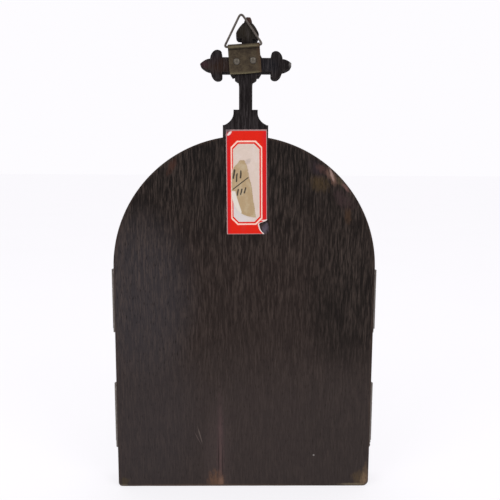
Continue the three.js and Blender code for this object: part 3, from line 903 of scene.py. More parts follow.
@dataclass
class ArchedPanel(Board):
    """The round-headed centre board, with a sunk field in its hidden front."""

    worn_corner: float = 3.8
    border: float = 11.0
    rail: float = 16.0
    field_depth: float = 2.6
    field_insets: tuple[float, ...] = (18.0, 40.0, 78.0)
    back_insets: tuple[float, ...] = (78.0, 50.0, 20.0, 4.0, 1.6)
    round_head_turn: float = 0.168
    waver_turns: int = 40
    waver_depth: float = 0.10
    waver_seed: int = 11

    def __post_init__(self) -> None:
        """Read the board's width, seat and faces from the frame."""
        low, high = box_mm("back_panel")
        self.radius = high[0]
        self.front, self.back = low[1], high[1]
        self.seat = high[2]

    def ring(self, inset: float, y: float, foot: float | None = None) -> np.ndarray:
        """Return one ring of the board, every ring with the same run of points.

        From the middle of the foot it goes along the foot, round the corner, up the side, round the
        head to the crown's seat, along the seat and down the other side.

        Args:
            inset: how far inside the outline.
            y: its depth.
            foot: height of its foot; given for the sunk field, whose head is fully round.

        Returns:
            The points, shaped (points, 3).
        """
        right = self.half_ring(inset, foot, self.foot_corner)
        left = self.half_ring(inset, foot, self.worn_corner)
        middle = [(0, self.seat - inset if foot is None else self.spring_height + self.radius - inset)]
        return upright(np.vstack((right, middle, left[:0:-1] * (-1, 1))), y)

    def half_ring(self, inset: float, foot: float | None, foot_corner: float) -> np.ndarray:
        """Return the right half of a ring, from the middle of its foot up to the middle of its head.

        Args:
            inset: how far inside the outline.
            foot: height of its foot, or None for the outline's own.
            foot_corner: radius of the corner at the outline.

        Returns:
            The points, shaped (points, 2).
        """
        radius = self.radius - inset
        base = inset if foot is None else foot
        corner = max(foot_corner - inset, LEAST_CORNER)
        flat = self.seat - self.spring_height - inset
        top = self.spring_height
        if foot is None:
            turn = np.arcsin(np.sqrt(max(radius**2 - flat**2, 0.0)) / radius)
            crown = line((radius * np.sin(turn), top + flat), (0, top + flat), 8)
        else:
            turn = self.round_head_turn
            crown = arc(0, top, radius, np.pi / 2 - turn, np.pi / 2, 8)
        return np.vstack((
            line((0, base), (radius - corner, base), 40),
            arc(radius - corner, base + corner, corner, -np.pi / 2, 0, 7),
            line((radius, base + corner), (radius, top), 36),
            arc(0, top, radius, 0, np.pi / 2 - turn, 84),
            crown,
        ))

    def arris_rings(self, face: float, inside: float) -> list[np.ndarray]:
        """Return the rings of one rounded arris, from the edge on to the face.

        A slow waver deepens the round here and there, as wear does, by |waver| sin 2a at angle a.

        Args:
            face: depth of the face.
            inside: 1 where the wood lies towards +Y from the face, and -1 where it lies towards -Y.

        Returns:
            The rings.
        """
        count = len(self.ring(0.0, face))
        wear = np.abs(waver(count, self.waver_turns, self.waver_seed)) * self.waver_depth
        rings = []
        for number, (inset, depth) in enumerate(quarter_round(self.arris, self.arris_steps)):
            ring = self.ring(inset, face + inside * depth)
            ring[:, 1] += inside * wear * np.sin(np.pi * number / (self.arris_steps - 1))
            rings.append(ring)
        return rings

    def make(self, oak: bpy.types.Material) -> None:
        """Build the board: back face, arris, edge, arris, border, hollow moulding and field.

        Args:
            oak: its material.
        """
        back = [self.ring(inset, self.back) for inset in self.back_insets]
        back += self.arris_rings(self.back, -1)[::-1]
        front = self.arris_rings(self.front, 1)
        front += [self.ring(inset, self.front) for inset in self.rim_insets]
        for inset, depth in cove(self.moulding, self.field_depth, self.moulding_steps):
            front.append(self.ring(self.border + inset, self.front + depth, self.rail + inset))
        for inset in self.field_insets:
            front.append(self.ring(inset, self.front + self.field_depth, inset + self.rail - self.border))
        rings = np.array(back + front)
        edge = np.zeros(rings.shape[:2])
        first, beyond = len(back) - self.arris_steps, len(back) + self.arris_steps
        edge[first:beyond] = 1.0
        edge[[first - 1, beyond]] = 0.35
        piece = build("oak_centre_panel", Shell.of_rings(rings, masks={"edge": edge}))
        self.settle(piece, oak, "blackened_oak", "root", "back_panel")


@dataclass(kw_only=True)
class Wing(Board):
    """One half-arch wing with a sunk field in both faces."""

    side: Side
    border: float = 9.0
    rail: float = 14.0
    field_depth: float = 1.6
    field_insets: tuple[float, ...] = (16.0, 24.0, 33.0)

    def __post_init__(self) -> None:
        """Read the wing's edges and faces from the frame."""
        self.node = f"{self.side.name.lower()}_wing"
        low, high = box_mm(self.node)
        self.seam = float(min(abs(low[0]), abs(high[0])))
        self.radius = float(max(abs(low[0]), abs(high[0])))
        self.front, self.back = low[1], high[1]

    def ring(self, inset: float, y: float, rail: float = 0.0) -> np.ndarray:
        """Return one ring: foot, outer corner, side, half of the head, and down along the seam.

        Args:
            inset: how far inside the outline.
            y: its depth.
            rail: how much higher still its foot is.

        Returns:
            The points, shaped (points, 3).
        """
        inner, radius, base = self.seam + inset, self.radius - inset, inset + rail
        corner = max(self.foot_corner - inset, LEAST_CORNER)
        stop = np.arccos(inner / radius)
        crown = self.spring_height + radius * np.sin(stop)
        outline = np.vstack((
            line((inner, base), (radius - corner, base), 40),
            arc(radius - corner, base + corner, corner, -np.pi / 2, 0, 7),
            line((radius, base + corner), (radius, self.spring_height), 36),
            arc(0, self.spring_height, radius, 0, stop, 90),
            line((inner, crown), (inner, base), 60),
        ))
        return upright(outline * (self.side.value, 1), y)

    def face_rings(self, face: float, inside: float) -> list[np.ndarray]:
        """Return the rings of one face, from the edge in: arris, border, moulding and field.

        Args:
            face: depth of the face.
            inside: 1 where the wood lies towards +Y from the face, and -1 where it lies towards -Y.

        Returns:
            The rings.
        """
        extra = self.rail - self.border
        arris = quarter_round(self.arris, self.arris_steps)
        hollow = cove(self.moulding, self.field_depth, self.moulding_steps)
        rings = [self.ring(inset, face + inside * depth) for inset, depth in arris]
        rings += [self.ring(inset, face) for inset in self.rim_insets]
        rings += [self.ring(self.border + inset, face + inside * depth, extra) for inset, depth in hollow]
        sunk = face + inside * self.field_depth
        return rings + [self.ring(inset, sunk, extra) for inset in self.field_insets]

    def make(self, oak: bpy.types.Material) -> None:
        """Build the wing from its two faces.

        Args:
            oak: its material.
        """
        back = self.face_rings(self.back, -1)
        rings = np.array(back[::-1] + self.face_rings(self.front, 1))
        edge = np.zeros(rings.shape[:2])
        edge[len(back) - self.arris_steps : len(back) + self.arris_steps] = 1.0
        piece = build(f"oak_{self.node}", Shell.of_rings(rings, masks={"edge": edge}))
        self.settle(piece, oak, "blackened_oak", self.node, self.node)


@dataclass(frozen=True)
class Arm:
    """One arm of the cross: its angle round the crossing, half widths, and distances out."""

    angle: float
    half: float
    lobe_start: float = 0.0
    lobe_end: float = 0.0
    lobe_half: float = 0.0
    lobe_roundness: float = 0.5
    petal_half: float = 3.4
    reach: float = 27.5
    blunt: float = 0.35
    lobe_curl: float = 2.2
    lobe_shoulder: float = 2.9

    def outline(self, rim: float) -> np.ndarray:
        """Return the arm's outline along +X: from the disc's rim out along one flank, and back.

        Each flank is a straight neck, a step out to the lobe, two bends over the lobe and one bend
        down the pointed petal.

        Args:
            rim: radius of the disc at the crossing.

        Returns:
            Points of distance out and distance across.
        """
        lobe_root = (self.lobe_start, self.lobe_half - self.lobe_curl)
        lobe_top = (self.lobe_start + self.lobe_shoulder, self.lobe_half)
        petal_root = (self.lobe_end, self.petal_half)
        petal_corner = ((self.lobe_end + self.reach) / 2, self.petal_half)
        tip = (self.reach, self.blunt)
        flank = np.vstack((
            line((np.sqrt(rim**2 - self.half**2), self.half), (self.lobe_start, self.half), 5),
            line((self.lobe_start, self.half), lobe_root, 3),
            bend(lobe_root, (self.lobe_start, self.lobe_half), lobe_top, 10),
            bend(lobe_top, (self.lobe_end, self.lobe_half), petal_root, 12, self.lobe_roundness),
            bend(petal_root, petal_corner, tip, 12),
            [tip],
        ))
        return np.vstack((flank * (1, -1), flank[::-1]))


@dataclass
class LilyCross(Part):
    """The cross with its disc and foot block, sawn from one board with its arrises eased."""

    crossing_height: float = 270.4
    offset: float = -0.25
    disc_radius: float = 10.5
    nick_angle: float = 0.09
    nick_depth: float = 1.1
    chipped_nick_depth: float = 2.0
    block_half: float = 13.9
    shoulder_height: float = 234.6
    shoulder_width: float = 0.8
    cove_rise: float = 2.2
    step_half: float = 7.4
    step_height: float = 243.8
    step_lip: float = 1.8
    arris: float = 0.3
    arris_steps: int = 4
    face_margin: float = 0.12
    shaft: Arm = Arm(-np.pi / 2, 4.05)
    side_arm: Arm = Arm(0.0, 4.3, 14.4, 21.5, 8.6)
    top_arm: Arm = Arm(float(np.radians(93)), 3.2, 15.0, 24.2, 6.9, 0.2, 2.4, 27.5, 1.1)
    chipped_arm: Arm = Arm(np.pi, 4.05, 15.4, 22.2, 8.1, blunt=1.1)
    shaft_again: Arm = Arm(1.5 * np.pi, 4.05)

    def __post_init__(self) -> None:
        """Read the faces and the seat from the frame."""
        low, high = box_mm("cross_finial")
        self.front, self.back = low[1], high[1]
        self.seat = low[2]

    def turned(self, points: np.ndarray, angle: float) -> np.ndarray:
        """Turn points about the crossing, and lift them to its height."""
        cos, sin = np.cos(angle), np.sin(angle)
        return points @ np.array(((cos, sin), (-sin, cos))) + (0, self.crossing_height)

    def rim(self, before: Arm, after: Arm, depth: float) -> np.ndarray:
        """Return the disc's rim from one arm round to the next, with a nick in its middle.

        Args:
            before: the arm that the rim starts from.
            after: the arm that it leads to.
            depth: how deep the nick is.

        Returns:
            The points, in the cross's own place.
        """
        start = np.arcsin(before.half / self.disc_radius)
        stop = after.angle - before.angle - np.arcsin(after.half / self.disc_radius)
        middle = (start + stop) / 2
        low, high = middle - self.nick_angle, middle + self.nick_angle
        rim = np.vstack((
            arc(0, 0, self.disc_radius, start, low, 7)[1:],
            arc(0, 0, self.disc_radius, low, high, 1),
            arc(0, 0, self.disc_radius - depth, middle, high, 1),
            arc(0, 0, self.disc_radius, high, stop, 7),
        ))
        return self.turned(rim, before.angle)

    def outline(self) -> np.ndarray:
        """Return the whole outline, anticlockwise from the block's right foot.

        Returns:
            The points, across and up.
        """
        shoulder = self.block_half - self.shoulder_width
        lip = self.step_height - self.step_lip
        half = self.shaft.half
        disc_foot = self.crossing_height - np.sqrt(self.disc_radius**2 - half**2)
        cove = (self.step_half, self.shoulder_height + self.cove_rise)
        flank = np.vstack((
            line((self.block_half, self.seat), (self.block_half, self.shoulder_height), 4),
            line((self.block_half, self.shoulder_height), (shoulder, self.shoulder_height), 2),
            bend((shoulder, self.shoulder_height), cove, (self.step_half, lip), 14),
            line((self.step_half, lip), (self.step_half, self.step_height), 2),
            line((self.step_half, self.step_height), (half, self.step_height), 3),
            line((half, self.step_height), (half, disc_foot), 8),
        ))
        outline = np.vstack((
            flank,
            self.rim(self.shaft, self.side_arm, self.chipped_nick_depth),
            self.turned(self.side_arm.outline(self.disc_radius), self.side_arm.angle),
            self.rim(self.side_arm, self.top_arm, self.nick_depth),
            self.turned(self.top_arm.outline(self.disc_radius), self.top_arm.angle),
            self.rim(self.top_arm, self.chipped_arm, self.nick_depth),
            self.turned(self.chipped_arm.outline(self.disc_radius), self.chipped_arm.angle),
            self.rim(self.chipped_arm, self.shaft_again, self.nick_depth),
            flank[::-1] * (-1, 1),
        ))
        return outline + (self.offset, 0)

    def make(self, oak: bpy.types.Material) -> None:
        """Build the cross: face, quarter-round arris, sawn edge, arris and face.

        Args:
            oak: its material.
        """
        outline = self.outline()
        face = inward(outline, self.arris + self.face_margin)
        steps = quarter_round(self.arris, self.arris_steps)
        arris = [(inward(outline, inset), depth) for inset, depth in steps]
        rings = [upright(face, self.back)]
        rings += [upright(ring, self.back - depth) for ring, depth in arris[::-1]]
        rings += [upright(ring, self.front + depth) for ring, depth in arris]
        rings = np.array([*rings, upright(face, self.front)])
        edge, sawn = np.ones(rings.shape[:2]), np.zeros(rings.shape[:2])
        edge[[0, -1]] = 0.0
        side = slice(self.arris_steps, self.arris_steps + 2)
        edge[side], sawn[side] = 0.3, 1.0
        piece = build("oak_lily_cross", Shell.of_rings(rings, masks={"edge": edge, "sawn": sawn}))
        self.settle(piece, oak, "black_lacquered_oak", "root", "cross_finial")


@dataclass(frozen=True)
class RearPlace:
    """A flat place on the back, turned anticlockwise by its tilt for somebody who looks at it."""

    back_y: float
    across: float
    height: float
    tilt: float

    def carry(self, points: np.ndarray) -> np.ndarray:
        """Carry points into the frame.

        Args:
            points: across, out from the wood and up, shaped (..., 3).

        Returns:
            The points in the frame, in millimetres.
        """
        across, out, up = points[..., 0], points[..., 1], points[..., 2]
        cos, sin = np.cos(self.tilt), np.sin(self.tilt)
        x = -(self.across + across * cos - up * sin)
        return np.stack((x, self.back_y + out, self.height + across * sin + up * cos), axis=-1)


@dataclass
class Hanger(Part):
    """The folded brass strap, the wire ring that turns in its fold, and the two nails.

    Attributes:
        place: the middle of the fold on the wood.
        fold_radius: outer radius of the fold, and the ring's distance from the wood.
        fold_stop: angle at which the fold leaves its circle.
        clearance: play between the fold and its circle.
        sheet: thickness of the brass.
        crease: how far below the fold the layers meet.
        swell: how far out the curve from the fold to the crease is drawn.
        bow, bow_start: how far the free end bows out, and how far down that begins.
        foot_rise: how much higher the free end is at its corners.
        side_highlight_and_wear, foot_highlight_and_wear, rust_width: widths of the rubbed sides and foot,
        which also carry a painted highlight, and of the rusty side.
    """

    place: RearPlace
    fold_radius: float = 1.35
    fold_stop: float = -0.18 * np.pi
    clearance: float = 0.006
    sheet: float = 0.55
    crease: float = 1.6
    swell: float = 0.85
    bow: float = 0.16
    bow_start: float = 6.0
    foot_rise: float = 0.35
    side_highlight_and_wear: float = 0.9
    foot_highlight_and_wear: float = 1.3
    rust_width: float = 2.6
    strap_width: float = 19.2
    strap_length: float = 15.9
    ring_base: float = 23.0
    ring_rise: float = 19.38
    ring_corner: float = 2.1
    ring_apex_corner: float = 3.1
    ring_shift: float = -0.2
    ring_lean: float = float(np.radians(2))
    ring_split: float = 0.4
    wire_radius: float = 0.66
    nail_radius: float = 2.1
    nail_height: float = 1.2
    nail_spread: float = 4.95
    nail_drop: float = 8.7

    def sheet_path(self) -> np.ndarray:
        """Return the middle line of the folded sheet: up the wood, round the wire, down the outside.

        The fold is a circle about the wire at (fold_radius, 0) whose radius is the fold's less half
        the sheet; the outer layer comes back against the inner one on a smooth curve.

        Returns:
            The points, each out from the wood and up.
        """
        middle = self.fold_radius - self.sheet / 2 - self.clearance
        inner, outer = self.sheet / 2, self.sheet * 1.5
        turn = arc(self.fold_radius, 0, middle, np.pi, self.fold_stop, 30)
        last = tuple(turn[-1])
        return np.vstack((
            line((inner, -self.strap_length), (inner, -0.4), 24),
            turn,
            bend(last, (outer + self.swell, -0.75 * self.crease), (outer, -self.crease), 8, 0.5)[1:],
            line((outer, -self.crease), (outer, -self.strap_length), 24),
            [(outer, -self.strap_length)],
        ))

    def section(self) -> np.ndarray:
        """Return the strap's section: the middle line moved half a sheet to each side, with round ends.

        Returns:
            The points, each out from the wood and up.
        """
        path = self.sheet_path()
        ahead, normal = directions(path)
        half = normal * self.sheet / 2
        turn = np.linspace(-np.pi / 2, np.pi / 2, 5)[1:-1, None]
        far = path[-1] + ahead[-1] * self.sheet / 2 * np.cos(turn) - half[-1] * np.sin(turn)
        near = path[0] - ahead[0] * self.sheet / 2 * np.cos(turn) + half[0] * np.sin(turn)
        return np.vstack((path + half, far, (path - half)[::-1], near))

    def strap_masks(self, stations: np.ndarray, section: np.ndarray) -> Masks:
        """Return the strap's masks: painted highlights and rubbing on the sides, foot and bead, painted
        shade on the fold and crease, a rusty side.

        Args:
            stations: places across the strap, shaped (stations, 1).
            section: its section.

        Returns:
            The masks.
        """
        out, up = section.T
        width = self.strap_width / 2
        outside = out > self.sheet * 1.5
        # Painted highlights, with rubbing, on the sides, the foot and the bead under the fold; painted shade
        # on the fold's crown and in the crease.
        sides = fade(width - np.abs(stations), self.side_highlight_and_wear) + 0 * out
        foot = fade(up + self.strap_length, self.foot_highlight_and_wear)
        bead = bump(up + 0.35, 0.55) * outside
        fold = bump(up - self.fold_radius * 0.85, 0.5)
        crease_shade = 0.75 * bump(up + self.crease, 0.3) * outside
        bright = np.maximum(np.maximum(sides * 0.5, foot), bead)
        return {
            "edge": bright * (np.abs(stations) <= 0.985 * width),
            "crown": np.maximum(fold, crease_shade) + 0 * sides,
            "rust": fade(width - stations, self.rust_width) + 0 * out,
        }

    def strap(self) -> Shell:
        """Return the strap: its section carried across its width.

        The free end bows out by bow (1 - s^2), growing down the strap, and its corners rise by
        foot_rise s^2, where s is the share of the half width.

        Returns:
            The strap about its own place.
        """
        section = self.section()
        width = self.strap_width / 2
        stations = np.concatenate(([-1.0, -0.99], np.linspace(-0.97, 0.97, 29), [0.99, 1.0])) * width
        stations = stations[:, None]
        low = np.clip((-section[:, 1] - self.bow_start) / (self.strap_length - self.bow_start), 0, 1)
        bow = self.bow * (1 - (stations / width) ** 2) * low * (section[:, 0] > self.sheet)
        rise = self.foot_rise * low * (stations / width) ** 2
        rings = np.stack((stations + 0 * low, section[:, 0] + bow, section[:, 1] + rise), axis=-1)
        return Shell.of_rings(rings, masks=self.strap_masks(stations, section))

    def ring_path(self) -> np.ndarray:
        """Return the ring's centre line: three straight sides and three bends, split in its base.

        Returns:
            The points, each across and up.
        """
        corners = np.array(((-self.ring_base / 2, 0), (0, self.ring_rise), (self.ring_base / 2, 0)), float)
        start = np.array((-self.ring_split / 2, 0.0))
        stop = np.array((self.ring_split / 2, 0.0))
        stretches, here = [], start
        for corner, beyond in zip(corners, (*corners[1:], stop)):
            reach = self.ring_apex_corner if corner[1] > 0 else self.ring_corner
            before = corner + (here - corner) / np.linalg.norm(here - corner) * reach
            after = corner + (beyond - corner) / np.linalg.norm(beyond - corner) * reach
            stretches += [line(here, before, 14), bend(before, corner, after, 14, 2 / 3)]
            here = after
        return np.vstack((*stretches, line(here, stop, 14), [stop]))

    def ring(self) -> Shell:
        """Return the wire carried round its path: c + r (cos a n + sin a o), with o out of the wood.

        Returns:
            The ring about its own place, leaned a little towards the cross.
        """
        path = self.ring_path()
        _, normal = directions(path)
        angle = np.linspace(0, 2 * np.pi, 18, endpoint=False)
        flat = path[:, None, :] + self.wire_radius * np.cos(angle)[None, :, None] * normal[:, None, :]
        out = self.wire_radius * np.sin(angle)[None, :] + 0 * flat[..., 0]
        up, across = flat[..., 1], flat[..., 0] + self.ring_shift
        cos, sin = np.cos(self.ring_lean), np.sin(self.ring_lean)
        points = np.stack((across, self.fold_radius + out * cos - up * sin, up * cos + out * sin), axis=-1)
        return Shell.of_rings(points)

    def nail(self, across: float, seed: int) -> Shell:
        """Return a domed nail head, at angle a of radius r cos(a)^0.8 and height h sin(a).

        Args:
            across: its place across the strap.
            seed: seed of its slight unroundness.

        Returns:
            The nail about the strap's place.
        """
        a = np.linspace(0, np.pi / 2, 12, endpoint=False)
        profile = np.column_stack((self.nail_radius * np.cos(a) ** 0.8, self.nail_height * np.sin(a)))
        profile = np.vstack(([(self.nail_radius * 0.96, -0.05)], profile))
        points = lathe(profile, 40)
        points[..., :2] *= (1 + 0.025 * waver(40, 4, seed))[None, :, None]
        head = points[..., [0, 2, 1]]
        head[..., 0] += across
        head[..., 1] += 2 * self.sheet
        head[..., 2] -= self.nail_drop
        # The edge mask grows to 1 at the dome's crown, where the metal gets its painted highlight and its
        # rub.
        edge = (np.linspace(1, 0, len(profile)) ** 2)[:, None] + 0 * head[..., 0]
        return Shell.of_rings(head, Ends.POLE, {"edge": 1 - edge})

    def make(self, brass: bpy.types.Material, wire: bpy.types.Material, nickel: bpy.types.Material) -> None:
        """Build the strap, the ring and the nails.

        Args:
            brass: the strap's material.
            wire: the ring's material.
            nickel: the nails' material.
        """
        carry = self.place.carry
        strap = build("brass_hanger_strap", self.strap().moved(carry))
        self.settle(strap, brass, "aged_brass", "root", "hanger_plate")
        ring = build("wire_hanging_ring", self.ring().moved(carry))
        self.settle(ring, wire, "bright_wire", "hanger_ring", "hanger_ring")
        for side in Side:
            across = -side.value * self.nail_spread
            name = f"hanger_nail_{side.name.lower()}"
            nail = build(f"domed_{name}", self.nail(across, 3 + side.value).moved(carry))
            self.settle(nail, nickel, "dull_nickel", "root", name)


@dataclass
class PaperSheet(Part):
    """A thin glued paper whose left and right edges are functions of its height."""

    place: RearPlace
    thickness: float
    lift: float = 0.0
    rows: int = 150
    columns: int = 30

    def slab(self, top: float, foot: float, left: Carry, right: Carry, masks: Marks) -> Shell:
        """Return the sheet: rows from top to foot, each going right on the front and back on the wood.

        The front cockles by lift |sin(0.55 x + 0.21 z) sin(0.13 z + 1)|.

        Args:
            top: the upper edge.
            foot: the lower edge.
            left: gives the left edge at each height.
            right: gives the right edge at each height.
            masks: gives the masks from places across and up.

        Returns:
            The sheet about its own place.
        """
        up = np.linspace(top, foot, self.rows)
        share = np.linspace(0, 1, self.columns)
        low, high = left(up)[:, None], right(up)[:, None]
        across = low + (high - low) * share
        height = np.broadcast_to(up[:, None], across.shape)
        rise = self.lift * np.sin(across * 0.55 + height * 0.21) * np.sin(height * 0.13 + 1.0)
        front = np.stack((across, self.thickness + np.abs(rise), height), axis=-1)
        rear = np.stack((across, 0 * across, height), axis=-1)[:, ::-1]
        rings = np.concatenate((front, rear), axis=1)
        values = masks(rings[..., 0], rings[..., 2], low, high)
        return Shell.of_rings(rings, masks=values)


@dataclass
class PaperLabel(PaperSheet):
    """The red-bordered label, whose lower right corner is torn away."""

    half_width: float = 12.55
    half_height: float = 32.15

    def left_edge(self, up: np.ndarray) -> np.ndarray:
        """Return the left edge, very slightly wavy."""
        return -self.half_width + 0.05 * np.sin(up * 1.9)

    def right_edge(self, up: np.ndarray) -> np.ndarray:
        """Return the right edge: straight, then in along the tear and out again to the foot.

        Args:
            up: heights to find it at.

        Returns:
            Places across.
        """
        knots_up = (-32.15, -31.0, -29.7, -28.4, -27.3, -26.2, -25.4, -24.9, -24.3, -23.7, -23.3)
        knots_across = (10.9, 9.7, 8.7, 8.1, 7.9, 7.5, 7.7, 8.9, 10.9, 12.1, 12.55)
        ragged = 0.10 * np.sin(up * 9.0) + 0.07 * np.sin(up * 23.0 + 1.0)
        return np.interp(up, knots_up, knots_across) + np.where(up < -23.3, ragged, 0.0)

    def marks(self, across: np.ndarray, up: np.ndarray, low: np.ndarray, high: np.ndarray) -> Masks:
        """Return the masks: torn beside the tear, and grime on the upper edge and in its left corner.

        Args:
            across: places across.
            up: places up.
            low: the left edge at those heights.
            high: the right edge at those heights.

        Returns:
            The masks.
        """
        to_edge = high - across
        torn = np.clip(1.25 - to_edge / 1.1, 0, 1) * (up < -23.0)
        torn = np.maximum(torn, np.exp(-(((across - 10.5) / 2.2) ** 2 + ((up + 23.6) / 0.5) ** 2)))
        top = fade(self.half_height - up, 0.9) * (0.6 + 0.4 * np.sin(across * 1.7))
        corner = 1.2 * np.exp(-(((across + 11.4) / 1.9) ** 2 + ((up - 31.4) / 1.5) ** 2))
        return {"torn": torn, "grime": np.clip(np.maximum(top * 0.8, corner), 0, 1)}

    def make(self, paper: bpy.types.Material) -> None:
        """Build the label.

        Args:
            paper: its material.
        """
        shell = self.slab(self.half_height, -self.half_height, self.left_edge, self.right_edge, self.marks)
        piece = build("red_bordered_label", shell.moved(self.place.carry))
        self.settle(piece, paper, "label_paper", "root", "paper_label")


@dataclass
class TornSticker(PaperSheet):
    """The torn buff sticker on the label."""

    top: float = 13.5
    foot: float = -21.6
    left_knots: tuple[Place, ...] = (
        (-21.6, 5.0), (-21.2, 0.9), (-20.0, -2.2), (-18.6, -4.4), (-17.0, -6.2), (-14.0, -7.8),
        (-10.0, -9.0), (-5.0, -9.5), (1.5, -9.5), (6.5, -9.1), (9.2, -8.2), (11.2, -6.3), (13.5, -4.3),
    )
    right_knots: tuple[Place, ...] = (
        (-21.6, 5.6), (-17.1, 4.9), (-13.0, 4.3), (-10.4, 3.8), (-5.7, 3.4), (-0.6, 2.6),
        (2.5, 1.7), (5.5, 1.1), (9.1, 0.4), (11.2, -0.3), (13.5, -1.6),
    )

    def edge(self, up: np.ndarray, knots: tuple[Place, ...], seed: int) -> np.ndarray:
        """Return one ragged edge through (height, across) knots, rounded off between them.

        Args:
            up: heights to find it at.
            knots: the points that it passes through.
            seed: seed of its raggedness.

        Returns:
            Places across.
        """
        heights, places = np.array(knots).T
        kernel = np.hanning(9)
        padded = np.pad(np.interp(up, heights, places), 4, mode="edge")
        smooth = np.convolve(padded, kernel / kernel.sum(), "valid")
        return smooth + 0.12 * waver(len(up), 30, seed)

    def left_edge(self, up: np.ndarray) -> np.ndarray:
        """Return the left edge."""
        return self.edge(up, self.left_knots, 21)

    def right_edge(self, up: np.ndarray) -> np.ndarray:
        """Return the right edge."""
        return self.edge(up, self.right_knots, 22)

    def marks(self, across: np.ndarray, up: np.ndarray, low: np.ndarray, high: np.ndarray) -> Masks:
        """Return the torn mask: a long strip down the lower left edge, and a hair line elsewhere.

        Args:
            across: places across.
            up: places up.
            low: the left edge at those heights.
            high: the right edge at those heights, which isn't needed.

        Returns:
            The mask.
        """
        strip = np.interp(up, (-18.3, -10.8, -5.7), (-3.2, -5.7, -7.0))
        within = np.clip(np.minimum((up + 19.2) / 0.8, (-5.0 - up) / 0.6), 0, 1)
        torn = np.clip((strip - across) / 0.5 + 0.5, 0, 1) * within
        return {"torn": np.maximum(torn, fade(across - low, 0.4))}

    def make(self, paper: bpy.types.Material) -> None:
        """Build the sticker.

        Args:
            paper: its material.
        """
        shell = self.slab(self.top, self.foot, self.left_edge, self.right_edge, self.marks)
        piece = build("torn_buff_sticker", shell.moved(self.place.carry))
        self.settle(piece, paper, "sticker_paper", "root", "torn_sticker")


